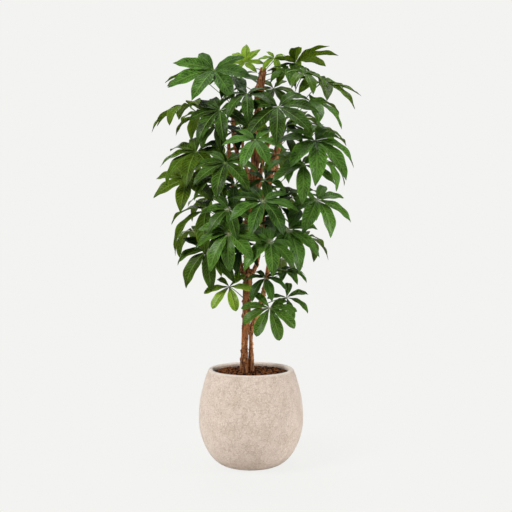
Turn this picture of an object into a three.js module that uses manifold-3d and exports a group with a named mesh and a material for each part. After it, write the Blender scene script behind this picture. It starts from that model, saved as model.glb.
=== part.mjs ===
// A money tree in a round-bellied pot. Millimetres, +Z up, the origin at the middle of the pot's base.

import * as THREE from "three";
import Module from "manifold-3d";
import { mergeVertices } from "three/addons/utils/BufferGeometryUtils.js";

// ---- Driving dimensions --------------------------------------------------------------------------

const POT_SIDES = 28;
const POT_FLOOR = 20;
const FIT_GAP = 0.3;
const SOIL_EDGE_HEIGHT = 319;
const SOIL_DOME = 7;
const SOIL_RELIEF = 1.6;
const STEM_FOOT_HEIGHT = 210;

const BARK_GAP = 0.35;
const BLADE_GAP = 0.8;
const RIB_DEPTH = 2.2;
const HUB_DEPTH = 4.2;
const NOTCH_RADIUS = 4.5;
const STALK_TIP_RADIUS = 1.6;
const STALK_ROOT_RADIUS = 2.6;
const STALK_STEPS = 5;
const STALK_SIDES = 3;
const SIDE_STALK_SHARE = 0.45;
const BUDS_A_STRETCH = 4;
const LOWEST_BUD = 480;
const ROOT_RANKS = [0, 2, 5, 9];

const LEAFLET_RISE = 18;
const LEAFLET_FAN = 262;
const LEAFLET_WIDTH = 0.34;
const LEAFLET_FOLD = 13;
const FULL_HANG_BEND = 80;

// Half-widths of a leaflet, as shares of its full width, at shares of the way from hub to tip.
const LEAFLET_STATIONS = [
  { along: 0.24, half: 0.25 },
  { along: 0.56, half: 0.5 },
  { along: 0.83, half: 0.28 },
];

// The two short leaflets next to the stalk have fewer.
const REAR_STATIONS = [
  { along: 0.3, half: 0.28 },
  { along: 0.68, half: 0.48 },
];

// Outside of the pot from the base up to the lip, as [radius, height].
const POT_OUTSIDE = [
  [86, 0],
  [116, 9],
  [145, 35],
  [169, 78],
  [183, 125],
  [186, 165],
  [182, 225],
  [170, 280],
  [154, 329],
];

// The rounded lip, from the outside over to the mouth.
const POT_LIP = [
  [150, 335],
  [141, 336],
  [135, 330],
];

// Inside of the pot from the mouth down to its floor. The soil fills it up to SOIL_EDGE_HEIGHT.
const POT_INSIDE = [
  [138, SOIL_EDGE_HEIGHT],
  [157, 262],
  [168, 170],
  [157, 90],
  [100, POT_FLOOR],
];

const COLOURS = {
  pot: 0xd3c5b6,
  soil: 0x54301d,
  bark: 0x8a5334,
  leaf: 0x3c7238,
  young: 0x87a838,
};

// ---- Wood ----------------------------------------------------------------------------------------
// Each limb is a run of [x, y, z, radius]. A limb after the first of its node starts inside another.

const MAIN_LIMBS = [
  [
    [-25, -23, STEM_FOOT_HEIGHT, 13],
    [-24, -24, 290, 15.4],
    [-24, -25, 335, 15.4],
    [-23, -25, 390, 14],
    [-22, -24, 440, 15],
    [-17, -21, 510, 14.6],
    [-15, -18, 580, 15.4],
    [-12, -16, 635, 16.4],
    [-10, -14, 690, 14],
  ],
  [
    [-16, -12, 640, 9],
    [-36, 5, 705, 7.6],
    [-46, 15, 795, 7],
    [-61, 25, 925, 6.2],
    [-70, 30, 1030, 6.4],
    [-80, 20, 1120, 6.8],
    [-80, 18, 1155, 6.6],
  ],
  [
    [-10, -15, 660, 12],
    [-17, -10, 735, 9],
    [-19, 0, 795, 9.6],
    [-15, 5, 845, 12.4],
    [-3, 0, 920, 13],
    [6, -5, 975, 14.5],
    [12, -10, 1025, 14],
    [15, -10, 1080, 15.5],
    [14, -5, 1155, 15.5],
    [16, 0, 1220, 10.5],
    [27, 5, 1275, 13],
    [27, 5, 1315, 15.5],
    [38, 0, 1370, 14],
    [44, -5, 1412, 11],
  ],
  [
    [-5, -16, 655, 9],
    [21, -35, 715, 7.4],
    [31, -45, 775, 7.4],
    [39, -50, 835, 8.2],
    [43, -50, 880, 8.6],
    [50, -48, 945, 8],
    [57, -45, 990, 8.4],
    [76, -40, 1050, 12],
    [91, -32, 1105, 11],
    [105, -25, 1155, 9.4],
    [115, -20, 1196, 9],
  ],
  [
    [55, -44, 960, 6],
    [71, -20, 1000, 7],
    [88, -5, 1030, 7.4],
    [94, 8, 1068, 6.4],
    [96, 14, 1104, 5.6],
  ],
  [
    [-4, 3, 905, 8],
    [-21, 25, 985, 7],
    [-40, 45, 1070, 7.4],
    [-54, 55, 1125, 8],
    [-64, 60, 1185, 8.4],
    [-66, 60, 1250, 8],
    [-64, 58, 1300, 8.4],
  ],
  [
    [4, -4, 955, 7],
    [-6, -20, 1010, 6.6],
    [-16, -30, 1050, 6.4],
    [-25, -35, 1095, 6.2],
    [-30, -38, 1145, 5.8],
    [-30, -40, 1192, 5.4],
  ],
  [
    [-6, 2, 895, 8],
    [22, 10, 960, 8],
    [30, 14, 1010, 8.4],
    [40, 22, 1065, 7.6],
    [56, 35, 1125, 6.8],
    [76, 50, 1176, 6],
  ],
];

const SIDE_LIMBS = [
  [
    [4, -2, STEM_FOOT_HEIGHT + 15, 10],
    [2, -3, 290, 11.4],
    [1, -3, 335, 11.4],
    [0, -2, 400, 9.4],
    [0, -1, 455, 8.8],
    [4, 0, 488, 9],
    [18, 3, 520, 10.2],
    [31, 6, 556, 10],
    [43, 10, 600, 9.2],
    [54, 16, 650, 8],
    [62, 22, 705, 7],
    [66, 26, 755, 6],
  ],
];

const LIMB_STEP_LENGTH = 52;
const STOUT_RADIUS = 10;

// ---- Leaves --------------------------------------------------------------------------------------
// Each stem carries one leaf or more, the later ones on side stalks. A leaf is
// [x, y, z of its hub, length of its longest leaflet, number of leaflets, compass angle it leans to,
//  tilt of its face away from straight up, how far its leaflets bend down, turn of its fan].

const LEAFY_STEMS = [
  // Crown.
  [[-125, -110, 1374, 174, 7, -102, 60, 0, -16]],
  [[-60, -76, 1366, 104, 6, -95, 50, 26, 0]],
  [[-172, 50, 1400, 168, 6, -176, 8, 2, 0], [-60, 40, 1330, 100, 6, -120, 36, 30, 0]],
  [[158, 24, 1428, 168, 7, 0, -12, 6, 0], [120, 70, 1410, 92, 5, 40, 20, 30, 0]],
  [[245, -20, 1352, 176, 7, -56, 34, 12, 20]],
  [[137, -58, 1392, 112, 6, -85, 42, 28, 20]],
  [[-44, 60, 1392, 116, 6, -104, 44, 18, 0]],
  [[84, 96, 1382, 122, 6, -84, 42, 20, 0]],
  // Upper front.
  [[-12, -220, 1262, 122, 6, -96, 46, 34, -14]],
  [[89, -235, 1231, 168, 7, -90, 62, 14, 0]],
  [[202, -80, 1280, 156, 6, -56, 36, 14, 14], [120, -60, 1200, 108, 6, -82, 42, 36, 10]],
  [[178, -150, 1338, 108, 6, -72, 40, 30, 30]],
  [[-100, -200, 1216, 140, 7, -100, 56, 16, -26]],
  [[-206, -60, 1262, 172, 7, -152, 20, 26, -10], [-108, -60, 1194, 124, 6, -104, 42, 34, -10]],
  [[-34, -96, 1180, 96, 5, -105, 44, 36, 0]],
  [[15, -270, 1116, 120, 6, -92, 56, 18, 0]],
  [[212, -190, 1118, 178, 8, -76, 50, 28, 12]],
  [[256, 50, 1104, 146, 6, -50, 44, 40, 30], [250, 10, 1212, 116, 6, -46, 34, 32, 10]],
  [[-185, -130, 1107, 170, 8, -112, 48, 24, -20]],
  // Middle front.
  [[-80, -262, 1034, 142, 7, -94, 54, 22, -6]],
  [[-120, -120, 1000, 116, 5, -110, 42, 36, -30], [-52, -150, 975, 104, 5, -104, 50, 36, 0]],
  [[-224, -16, 1012, 160, 7, -94, 52, 6, -8]],
  [[172, -214, 1034, 142, 5, -84, 62, 26, 0], [122, -170, 1060, 100, 5, -80, 46, 36, 0]],
  [[40, -292, 911, 142, 7, -86, 54, 24, -16]],
  [[44, -180, 1000, 100, 5, -95, 46, 36, 10], [100, -60, 920, 108, 6, -84, 42, 38, 14]],
  [[-72, -242, 902, 118, 6, -98, 60, 24, -12]],
  [[-152, -70, 898, 192, 6, -112, 46, 52, -10]],
  [[226, -84, 918, 150, 7, -72, 56, 22, 12]],
  [[198, 34, 966, 126, 6, -56, 42, 42, 34]],
  // Lower front.
  [[-70, -210, 823, 144, 8, -100, 50, 32, -12], [-34, -90, 770, 96, 5, -100, 42, 40, -10]],
  [[-152, -120, 768, 162, 7, -94, 58, 36, -8]],
  [[66, -238, 784, 142, 7, -88, 54, 26, -48]],
  [[126, -160, 826, 160, 7, -72, 48, 26, 14]],
  [[64, -132, 574, 120, 8, -92, 58, 24, -4]],
  [[50, -62, 650, 104, 6, -96, 44, 34, -10]],
  [[124, -72, 594, 106, 6, -76, 54, 32, 28]],
  [[124, 32, 684, 96, 7, -80, 20, 26, 60]],
  // Back.
  [[-196, 130, 1268, 130, 6, 148, 26, 40, 0]],
  [[12, 232, 1282, 132, 6, 88, 32, 40, 0]],
  [[196, 158, 1268, 128, 6, 38, 28, 42, 0]],
  [[-104, 238, 1154, 138, 6, 114, 34, 40, 0], [-110, 120, 1180, 104, 5, -110, 22, 44, 0]],
  [[106, 248, 1136, 140, 7, 66, 36, 40, 0], [130, 120, 1180, 104, 5, -70, 22, 44, 0]],
  [[-236, 104, 1096, 134, 6, 158, 30, 44, 0]],
  [[-6, 272, 1016, 140, 7, 92, 38, 40, 0], [10, 130, 1060, 110, 5, -100, 22, 46, 0]],
  [[-164, 206, 968, 136, 6, 130, 38, 42, 0], [-120, 90, 1000, 110, 5, -120, 24, 44, 0]],
  [[156, 226, 966, 136, 6, 54, 38, 42, 0], [120, 100, 990, 110, 6, -60, 24, 44, 0]],
  [[-66, 236, 868, 134, 6, 104, 42, 40, 0], [-60, 110, 900, 104, 6, -105, 28, 42, 0]],
  [[78, 226, 842, 134, 6, 70, 42, 40, 0], [70, 110, 880, 104, 6, -75, 28, 42, 0]],
  [[-214, 66, 832, 134, 6, 166, 38, 44, 0]],
  [[208, 104, 812, 130, 6, 26, 40, 42, 0]],
  [[-120, 150, 748, 124, 6, 130, 44, 42, 0]],
  [[116, 150, 728, 116, 6, 52, 44, 42, 0]],
];

// Young leaves are brighter, so each is a stem of its own.
const YOUNG_STEMS = [
  [[-20, -6, 1426, 92, 7, 84, -64, 6, 0]],
  [[84, 40, 1434, 72, 6, -95, 54, 14, -10]],
  [[-76, -46, 618, 104, 6, -100, 54, 16, 0]],
  [[-36, 70, 682, 84, 5, -120, 34, 24, -60]],
];

// A stem that meets wood or another stem takes the first of these moves that is clear.
const MOVES = [];
for (const turn of [0, 12, -12, 24, -24]) {
  for (const lean of [0, 8, -8, 16]) {
    for (const depth of [0, -14, 14, -28, 28, -42, 42]) {
      for (const drop of [0, 12, -12]) {
        MOVES.push({ turn, lean, depth, drop });
      }
    }
  }
}

// ---- Solids --------------------------------------------------------------------------------------

const wasm = await Module();
wasm.setup();

function toSolid(geometry) {
  const plain = geometry.clone();
  plain.deleteAttribute("normal");
  plain.deleteAttribute("uv");
  const merged = mergeVertices(plain, 1e-4);
  return new wasm.Manifold(
    new wasm.Mesh({
      numProp: 3,
      vertProperties: new Float32Array(merged.attributes.position.array),
      triVerts: new Uint32Array(merged.index.array),
    }),
  );
}

function toMesh(solid, name, colour, roughness) {
  const { vertProperties, triVerts } = solid.getMesh();
  const geometry = new THREE.BufferGeometry();
  geometry.setAttribute("position", new THREE.BufferAttribute(vertProperties, 3));
  geometry.setIndex(new THREE.BufferAttribute(triVerts, 1));
  geometry.computeVertexNormals();
  const material = new THREE.MeshStandardMaterial({ color: colour, roughness, metalness: 0 });
  const mesh = new THREE.Mesh(geometry, material);
  mesh.name = name;
  return mesh;
}

function facetGeometry(corners, triangles) {
  const geometry = new THREE.BufferGeometry();
  geometry.setAttribute("position", new THREE.Float32BufferAttribute(corners.flatMap((c) => c.toArray()), 3));
  geometry.setIndex(triangles.flat());
  return geometry;
}

function joinAll(solids) {
  return solids.reduce((whole, solid) => whole.add(solid));
}

// A value from 0 to 1 that is always the same for the same two numbers.
function scatter(first, second) {
  const wave = Math.sin(first * 12.9898 + second * 78.233) * 43758.5453;
  return wave - Math.floor(wave);
}

// A closed tube along a curve. radiusAt gives its radius at a share of the curve's length and an
// angle round it. The facets of the far cap come last.
function tubeFacets(curve, radiusAt, sides, steps) {
  const frames = curve.computeFrenetFrames(steps);
  const corners = [];
  const triangles = [];
  for (let side = 1; side < sides - 1; side++) {
    triangles.push([0, side + 1, side]);
  }
  for (let step = 0; step <= steps; step++) {
    const share = step / steps;
    const centre = curve.getPointAt(share);
    for (let side = 0; side < sides; side++) {
      const angle = (2 * Math.PI * side) / sides;
      const radius = radiusAt(share, angle);
      corners.push(
        centre
          .clone()
          .addScaledVector(frames.normals[step], radius * Math.cos(angle))
          .addScaledVector(frames.binormals[step], radius * Math.sin(angle)),
      );
    }
  }
  for (let step = 0; step < steps; step++) {
    for (let side = 0; side < sides; side++) {
      const here = step * sides + side;
      const next = step * sides + ((side + 1) % sides);
      triangles.push([here, next, here + sides], [next, next + sides, here + sides]);
    }
  }
  const last = steps * sides;
  for (let side = 1; side < sides - 1; side++) {
    triangles.push([last, last + side, last + side + 1]);
  }
  return { corners, triangles, capSize: sides - 2 };
}

function tubeSolid(curve, radiusAt, sides, steps) {
  const { corners, triangles } = tubeFacets(curve, radiusAt, sides, steps);
  return toSolid(facetGeometry(corners, triangles));
}

// ---- Pot and soil --------------------------------------------------------------------------------

function turned(profile) {
  const points = profile.map(([radius, height]) => new THREE.Vector2(radius, height));
  const geometry = new THREE.LatheGeometry(points, POT_SIDES);
  geometry.rotateX(Math.PI / 2);
  return geometry;
}

function buildPot() {
  return toSolid(turned([[0, 0], ...POT_OUTSIDE, ...POT_LIP, ...POT_INSIDE, [0, POT_FLOOR]]));
}

function buildSoil(stemHoles) {
  const wall = POT_INSIDE.map(([radius, height]) => [radius - FIT_GAP, height]).reverse();
  wall[0][1] += FIT_GAP;
  const edge = wall[wall.length - 1][0];
  const surface = [0.8, 0.58, 0.34, 0].map((share) => [
    edge * share,
    SOIL_EDGE_HEIGHT + SOIL_DOME * (1 - share * share),
  ]);
  const geometry = turned([[0, POT_FLOOR + FIT_GAP], ...wall, ...surface]);
  const position = geometry.attributes.position;
  for (let index = 0; index < position.count; index++) {
    const radius = Math.hypot(position.getX(index), position.getY(index));
    if (position.getZ(index) > SOIL_EDGE_HEIGHT + 0.1 && radius > 1) {
      const angle = Math.round((Math.atan2(position.getY(index), position.getX(index)) * 180) / Math.PI);
      const bump = scatter(angle, Math.round(radius)) - 0.5;
      position.setZ(index, position.getZ(index) + 2 * SOIL_RELIEF * bump);
    }
  }
  return toSolid(geometry).subtract(stemHoles);
}

// ---- Wood ----------------------------------------------------------------------------------------

function limbCurve(limb) {
  const points = limb.map(([x, y, z]) => new THREE.Vector3(x, y, z));
  return new THREE.CatmullRomCurve3(points, false, "centripetal");
}

// Radius at a share of a limb's length, read between its listed points.
function limbRadius(limb, share) {
  const reach = limb.map((point, index) => {
    if (index === 0) return 0;
    return new THREE.Vector3(...point).distanceTo(new THREE.Vector3(...limb[index - 1]));
  });
  let distance = share * reach.reduce((sum, length) => sum + length);
  for (let index = 1; index < limb.length; index++) {
    if (distance <= reach[index]) {
      return THREE.MathUtils.lerp(limb[index - 1][3], limb[index][3], distance / reach[index]);
    }
    distance -= reach[index];
  }
  return limb[limb.length - 1][3];
}

// Shallow flutes run along the bark and slowly wind round it. Extra thickness gives the clearance.
function limbSolid(limb, extra) {
  const [[x, y, foot, radius], ...rest] = limb;
  const curve = limbCurve([[x, y, foot - extra, radius], ...rest]);
  const steps = Math.round(curve.getLength() / LIMB_STEP_LENGTH);
  const widest = Math.max(...limb.map(([, , , radius]) => radius));
  const radiusAt = (share, angle) =>
    limbRadius(limb, share) * (1 + 0.06 * Math.cos(2 * angle + 9 * share)) + extra;
  return tubeSolid(curve, radiusAt, widest > STOUT_RADIUS ? 8 : 6, steps);
}

function buildWood(limbs, extra) {
  return joinAll(limbs.map((limb) => limbSolid(limb, extra)));
}

// ---- Leaves --------------------------------------------------------------------------------------

// Axes of a leaf: out is the way its middle leaflet points, face is what its upper side looks at.
function leafAxes(compass, tilt) {
  const around = THREE.MathUtils.degToRad(compass);
  const over = THREE.MathUtils.degToRad(tilt);
  const level = new THREE.Vector3(Math.cos(around), Math.sin(around), 0);
  const up = new THREE.Vector3(0, 0, 1);
  const out = level.clone().multiplyScalar(Math.cos(over)).addScaledVector(up, -Math.sin(over));
  const face = level.clone().multiplyScalar(Math.sin(over)).addScaledVector(up, Math.cos(over));
  return { out, face, across: new THREE.Vector3().crossVectors(face, out) };
}

// Where each leaflet of a leaf points, how long it is, how far it bends and how much its own weight,
// not the face of the leaf, says which way that is.
function leafletPlan(leaf, seed) {
  const [, , , length, count, , , bend] = leaf;
  const plan = [];
  for (let index = 0; index < count; index++) {
    const place = index / (count - 1) - 0.5;
    const stray = (scatter(seed, index) - 0.5) * 12;
    const angle = place * LEAFLET_FAN + stray;
    const backness = Math.abs(place) * 2;
    plan.push({
      angle: THREE.MathUtils.degToRad(angle),
      length: length * (1 - 0.3 * backness * backness) * (0.94 + 0.1 * scatter(seed, index + 20)),
      stations: backness === 1 ? REAR_STATIONS : LEAFLET_STATIONS,
      bend: THREE.MathUtils.degToRad(bend + 10 + 34 * (scatter(seed, index + 40) - 0.3)),
      hang: bend / FULL_HANG_BEND,
    });
  }
  return plan;
}

// One leaflet's rib and edge points. It rises a little from the hub and then arches over.
function leafletLines(hub, axes, leaflet, turn) {
  const angle = leaflet.angle + turn;
  const heading = axes.out
    .clone()
    .multiplyScalar(Math.cos(angle))
    .addScaledVector(axes.across, Math.sin(angle));
  const upright = new THREE.Vector3(0, 0, 1).addScaledVector(heading, -heading.z);
  const crown = axes.face.clone().lerp(upright, leaflet.hang).normalize();
  const side = new THREE.Vector3().crossVectors(crown, heading);
  const rise = THREE.MathUtils.degToRad(LEAFLET_RISE);
  const fold = THREE.MathUtils.degToRad(LEAFLET_FOLD);
  const sweep = rise + leaflet.bend;
  const ribPoint = (along) => {
    const slope = rise - sweep * along;
    const forward = (leaflet.length * (Math.sin(rise) - Math.sin(slope))) / sweep;
    const lift = (leaflet.length * (Math.cos(slope) - Math.cos(rise))) / sweep;
    return hub.clone().addScaledVector(heading, forward).addScaledVector(crown, lift);
  };
  const stations = leaflet.stations.map(({ along, half }) => {
    const slope = rise - sweep * along;
    const normal = crown.clone().multiplyScalar(Math.cos(slope)).addScaledVector(heading, -Math.sin(slope));
    const reach = half * LEAFLET_WIDTH * leaflet.length;
    const rib = ribPoint(along);
    const edge = (sign) =>
      rib
        .clone()
        .addScaledVector(side, sign * reach * Math.cos(fold))
        .addScaledVector(normal, reach * Math.sin(fold));
    return { rib, normal, left: edge(1), right: edge(-1) };
  });
  return { stations, tip: ribPoint(1) };
}

// The stalk from its root on the wood to under the hub. It leaves level and comes up under the leaf.
function stalkCurve(root, hub, axes) {
  const reach = root.distanceTo(hub);
  const below = hub
    .clone()
    .addScaledVector(axes.face, -0.3 * reach)
    .addScaledVector(axes.out, -0.22 * reach);
  const away = root.clone().lerp(hub, 0.3);
  away.z += 0.04 * reach;
  return new THREE.CubicBezierCurve3(root, away, below, hub.clone().addScaledVector(axes.face, -HUB_DEPTH));
}

// The stretch of a curve between two shares of its length.
class Stretch extends THREE.Curve {
  constructor(whole, from, to) {
    super();
    this.ends = { whole, from, to };
  }

  getPoint(share, target = new THREE.Vector3()) {
    const { whole, from, to } = this.ends;
    return target.copy(whole.getPoint(THREE.MathUtils.lerp(from, to, share)));
  }
}

// A whole palmate leaf as one closed blade. Its upper and lower sides share their outline, and the
// lower side runs into the last ring of the stalk.
function leafSolid({ hub, axes, plan, turn, curve, rootRadius }, extra) {
  const radiusAt = (share) => THREE.MathUtils.lerp(rootRadius, STALK_TIP_RADIUS, share) + extra;
  const stalk = tubeFacets(curve, radiusAt, STALK_SIDES, STALK_STEPS);
  const { corners, triangles } = stalk;
  triangles.splice(-stalk.capSize);
  const add = (point) => corners.push(point) - 1;
  const top = add(hub.clone().addScaledVector(axes.face, 0.6 + extra));
  const rim = [];

  plan.forEach((leaflet, index) => {
    const { stations, tip } = leafletLines(hub, axes, leaflet, turn);
    const rings = stations.map(({ rib, normal, left, right }) => ({
      upper: add(rib.clone().addScaledVector(normal, extra)),
      lower: add(rib.clone().addScaledVector(normal, -RIB_DEPTH - extra)),
      left: add(left),
      right: add(right),
    }));
    const end = add(tip);
    for (const level of ["upper", "lower"]) {
      const facet = (a, b, c) => triangles.push(level === "upper" ? [a, b, c] : [a, c, b]);
      for (let ring = 0; ring + 1 < rings.length; ring++) {
        const near = rings[ring];
        const far = rings[ring + 1];
        facet(near.right, far.right, near[level]);
        facet(far.right, far[level], near[level]);
        facet(near[level], far[level], far.left);
        facet(near[level], far.left, near.left);
      }
      const last = rings[rings.length - 1];
      facet(last.right, end, last[level]);
      facet(last[level], end, last.left);
    }
    const next = plan[(index + 1) % plan.length];
    const step = next.angle - leaflet.angle + (index === plan.length - 1 ? 2 * Math.PI : 0);
    const angle = leaflet.angle + step / 2 + turn;
    const notch = add(
      hub
        .clone()
        .addScaledVector(axes.out, NOTCH_RADIUS * Math.cos(angle))
        .addScaledVector(axes.across, NOTCH_RADIUS * Math.sin(angle))
        .addScaledVector(axes.face, -1.5),
    );
    const { right, upper, lower, left } = rings[0];
    rim.push([right, right], [upper, lower], [left, left], [notch, notch]);
  });

  const ringStart = STALK_STEPS * STALK_SIDES;
  const ring = Array.from({ length: STALK_SIDES }, (_, side) => ringStart + side);
  const ringMiddle = ring.reduce((sum, corner) => sum.add(corners[corner]), new THREE.Vector3());
  ringMiddle.divideScalar(STALK_SIDES);
  const bearing = (corner, centre) => {
    const from = corners[corner].clone().sub(centre);
    return Math.atan2(from.dot(axes.across), from.dot(axes.out));
  };
  const apart = (a, b) => Math.abs(Math.atan2(Math.sin(a - b), Math.cos(a - b)));
  const nearest = rim.map(([, lower]) => {
    const offRim = (corner) => apart(bearing(corner, ringMiddle), bearing(lower, hub));
    return ring.reduce((best, corner) => (offRim(corner) < offRim(best) ? corner : best));
  });
  rim.forEach(([upper, lower], index) => {
    const [nextUpper, nextLower] = rim[(index + 1) % rim.length];
    const inner = nearest[index];
    const nextInner = nearest[(index + 1) % rim.length];
    triangles.push([top, upper, nextUpper], [inner, nextLower, lower]);
    if (inner !== nextInner) triangles.push([inner, nextInner, nextLower]);
  });
  return toSolid(facetGeometry(corners, triangles));
}

// Points along every limb where a stem could grow, each with the limb's radius there.
function budPoints(limbs) {
  const buds = [];
  for (const limb of limbs) {
    for (let index = 1; index < limb.length; index++) {
      for (let step = 0; step < BUDS_A_STRETCH; step++) {
        const share = step / BUDS_A_STRETCH;
        const [x, y, z, radius] = limb[index].map((end, axis) => {
          return THREE.MathUtils.lerp(limb[index - 1][axis], end, share);
        });
        buds.push({ point: new THREE.Vector3(x, y, z), radius });
      }
    }
  }
  return buds.filter(({ point }) => point.z > LOWEST_BUD);
}

// A stem grows from the nearest wood that lies somewhat lower than its leaf.
function rootFor(hub, buds, rank) {
  const away = Math.hypot(hub.x, hub.y);
  const wanted = new THREE.Vector3(hub.x, hub.y, hub.z - 0.3 * away - 15);
  const ranked = [...buds].sort((a, b) => a.point.distanceTo(wanted) - b.point.distanceTo(wanted));
  const { point, radius } = ranked[rank];
  const outward = hub.clone().sub(point).normalize();
  return point.clone().addScaledVector(outward, 0.45 * radius);
}

// The leaves of one stem under one move, each with its axes, leaflets and stalk.
function stemLeaves(leaves, seed, move, root) {
  let mainCurve = null;
  return leaves.map((leaf, index) => {
    const [x, y, z, , , compass, tilt, , turn] = leaf;
    const hub = new THREE.Vector3(x, y + move.depth, z + move.drop);
    const axes = leafAxes(compass, tilt + move.lean);
    const start = mainCurve ? mainCurve.getPoint(SIDE_STALK_SHARE) : root;
    const curve = stalkCurve(start, hub, axes);
    const rootRadius = mainCurve ? STALK_TIP_RADIUS : STALK_ROOT_RADIUS;
    mainCurve = mainCurve ?? curve;
    const plan = leafletPlan(leaf, seed + 0.37 * index);
    return { hub, axes, plan, turn: THREE.MathUtils.degToRad(turn + move.turn), curve, rootRadius };
  });
}

// Whether a solid is still closed, in one body, once corners closer than a hundredth are merged.
function staysClosed(solid) {
  if (solid.decompose().length > 1) return false;
  const { vertProperties, triVerts } = solid.getMesh();
  const names = [];
  for (let corner = 0; corner < vertProperties.length; corner += 3) {
    const place = [0, 1, 2].map((axis) => Math.round(vertProperties[corner + axis] * 100));
    names.push(place.join(","));
  }
  const edges = new Map();
  for (let first = 0; first < triVerts.length; first += 3) {
    const ends = [0, 1, 2].map((corner) => names[triVerts[first + corner]]);
    if (new Set(ends).size < 3) return false;
    for (let side = 0; side < 3; side++) {
      const edge = `${ends[side]}|${ends[(side + 1) % 3]}`;
      if (edges.has(edge)) return false;
      edges.set(edge, true);
    }
  }
  return true;
}

function boxesMeet(a, b) {
  return [0, 1, 2].every((axis) => a.min[axis] <= b.max[axis] && b.min[axis] <= a.max[axis]);
}

function touches(solid, others) {
  const box = solid.boundingBox();
  return others.some((other) => boxesMeet(box, other.box) && !solid.intersect(other.solid).isEmpty());
}

// Whether the leaf and its stalk, made thicker by the gap they keep, meet nothing that is there.
function hasRoom(leaf, wood, placed) {
  if (touches(leafSolid(leaf, BLADE_GAP), placed)) return false;
  const blade = leafSolid({ ...leaf, curve: new Stretch(leaf.curve, 0.95, 1) }, BLADE_GAP);
  const lowerStalk = new Stretch(leaf.curve, 0, 0.88);
  const stalk = tubeSolid(lowerStalk, () => STALK_ROOT_RADIUS, STALK_SIDES, STALK_STEPS);
  return !touches(blade, wood) && stalk.intersect(blade).isEmpty();
}

function growStem(leaves, seed, wood, bark, buds, placed) {
  const hub = new THREE.Vector3(...leaves[0].slice(0, 3));
  for (const rank of ROOT_RANKS) {
    const root = rootFor(hub, buds, rank);
    for (const move of MOVES) {
      const shapes = stemLeaves(leaves, seed, move, root);
      if (!shapes.every((leaf) => hasRoom(leaf, wood, placed))) continue;
      const stem = joinAll(shapes.map((leaf) => leafSolid(leaf, 0))).subtract(bark);
      if (staysClosed(stem)) return stem;
    }
  }
  throw new Error(`no clear place for the leaf at ${leaves[0].slice(0, 3)}`);
}

// ---- Assembly ------------------------------------------------------------------------------------

const tree = new THREE.Group();
tree.name = "potted_money_tree";

const mainTrunk = buildWood(MAIN_LIMBS, 0);
const sideTrunk = buildWood(SIDE_LIMBS, 0);
const bark = buildWood([...MAIN_LIMBS, ...SIDE_LIMBS], BARK_GAP);

tree.add(toMesh(buildPot(), "pot", COLOURS.pot, 0.9));
tree.add(toMesh(buildSoil(bark), "soil", COLOURS.soil, 1));
tree.add(toMesh(mainTrunk, "main_trunk", COLOURS.bark, 0.85));
tree.add(toMesh(sideTrunk, "side_trunk", COLOURS.bark, 0.85));

const wood = [mainTrunk, sideTrunk].map((solid) => ({ solid, box: solid.boundingBox() }));
const buds = budPoints([...MAIN_LIMBS, ...SIDE_LIMBS]);
const placed = [];

function growStems(stems, prefix, colour, firstSeed) {
  stems.forEach((leaves, index) => {
    const solid = growStem(leaves, firstSeed + index, wood, bark, buds, placed);
    placed.push({ solid, box: solid.boundingBox() });
    const number = String(index + 1).padStart(2, "0");
    tree.add(toMesh(solid, `${prefix}_${number}`, colour, 0.5));
  });
}

growStems(YOUNG_STEMS, "young_stem", COLOURS.young, 201);
growStems(LEAFY_STEMS, "leafy_stem", COLOURS.leaf, 1);

export default tree;
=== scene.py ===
"""Looks of a potted money tree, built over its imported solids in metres, +Z up."""

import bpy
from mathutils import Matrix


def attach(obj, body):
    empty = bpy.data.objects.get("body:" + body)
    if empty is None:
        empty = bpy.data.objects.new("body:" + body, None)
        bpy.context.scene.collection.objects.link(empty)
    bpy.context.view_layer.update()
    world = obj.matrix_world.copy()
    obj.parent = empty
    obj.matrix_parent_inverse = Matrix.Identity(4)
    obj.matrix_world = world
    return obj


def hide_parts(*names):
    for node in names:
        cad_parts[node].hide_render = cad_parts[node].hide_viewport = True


bl_info = {
    "name": "Potted money tree",
    "version": (1, 0, 0),
    "blender": (4, 5, 0),
    "location": "3D View > Sidebar > Money Tree",
    "description": "Makes a money tree's pot, soil, bark and leafy stems, and a pale studio round it",
    "category": "Object",
}

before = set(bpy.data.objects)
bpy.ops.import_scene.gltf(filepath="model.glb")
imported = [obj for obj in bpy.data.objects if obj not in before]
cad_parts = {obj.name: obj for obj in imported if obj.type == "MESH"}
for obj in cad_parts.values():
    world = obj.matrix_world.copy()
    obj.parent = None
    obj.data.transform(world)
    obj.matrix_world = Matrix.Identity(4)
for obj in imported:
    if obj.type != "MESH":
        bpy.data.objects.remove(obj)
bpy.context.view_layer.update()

import math

import bmesh
import bpy
import numpy as np
from bpy.props import FloatProperty, FloatVectorProperty, IntProperty, PointerProperty
from mathutils import Vector
from mathutils.kdtree import KDTree

MM = 0.001
BODY = "root"
UP = np.array((0.0, 0.0, 1.0))

# ---- Pot and soil, in millimetres ----

# Outside of the pot from the base up to the lip, as (radius, height).
POT_OUTSIDE = [
    (86, 0), (116, 9), (145, 35), (169, 78), (183, 125), (186, 165), (182, 225), (170, 280),
    (154, 329),
]

# The rounded lip, from the outside over to the mouth.
POT_LIP = [(150, 335), (141, 336), (135, 330)]

# Inside of the pot from the mouth down to its floor.
POT_INSIDE = [(138, 319), (157, 262), (168, 170), (157, 90), (100, 20)]

# The flat under the pot, and the steps between two points of its outline.
POT_FLAT_RADIUS = 84
POT_STEPS = 6

# The soil keeps a gap to the pot. Its top rises from the edge, as (radius, height), to a low dome, and
# takes its relief and crumbs where it is higher than the edge by the margin.
SOIL_GAP = 0.3
SOIL_EDGE = (137.7, 319)
SOIL_DOME = 7
SOIL_TOP_MARGIN = 0.2
SOIL_SIDES = 120
SOIL_WALL_STEPS = 4

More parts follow.
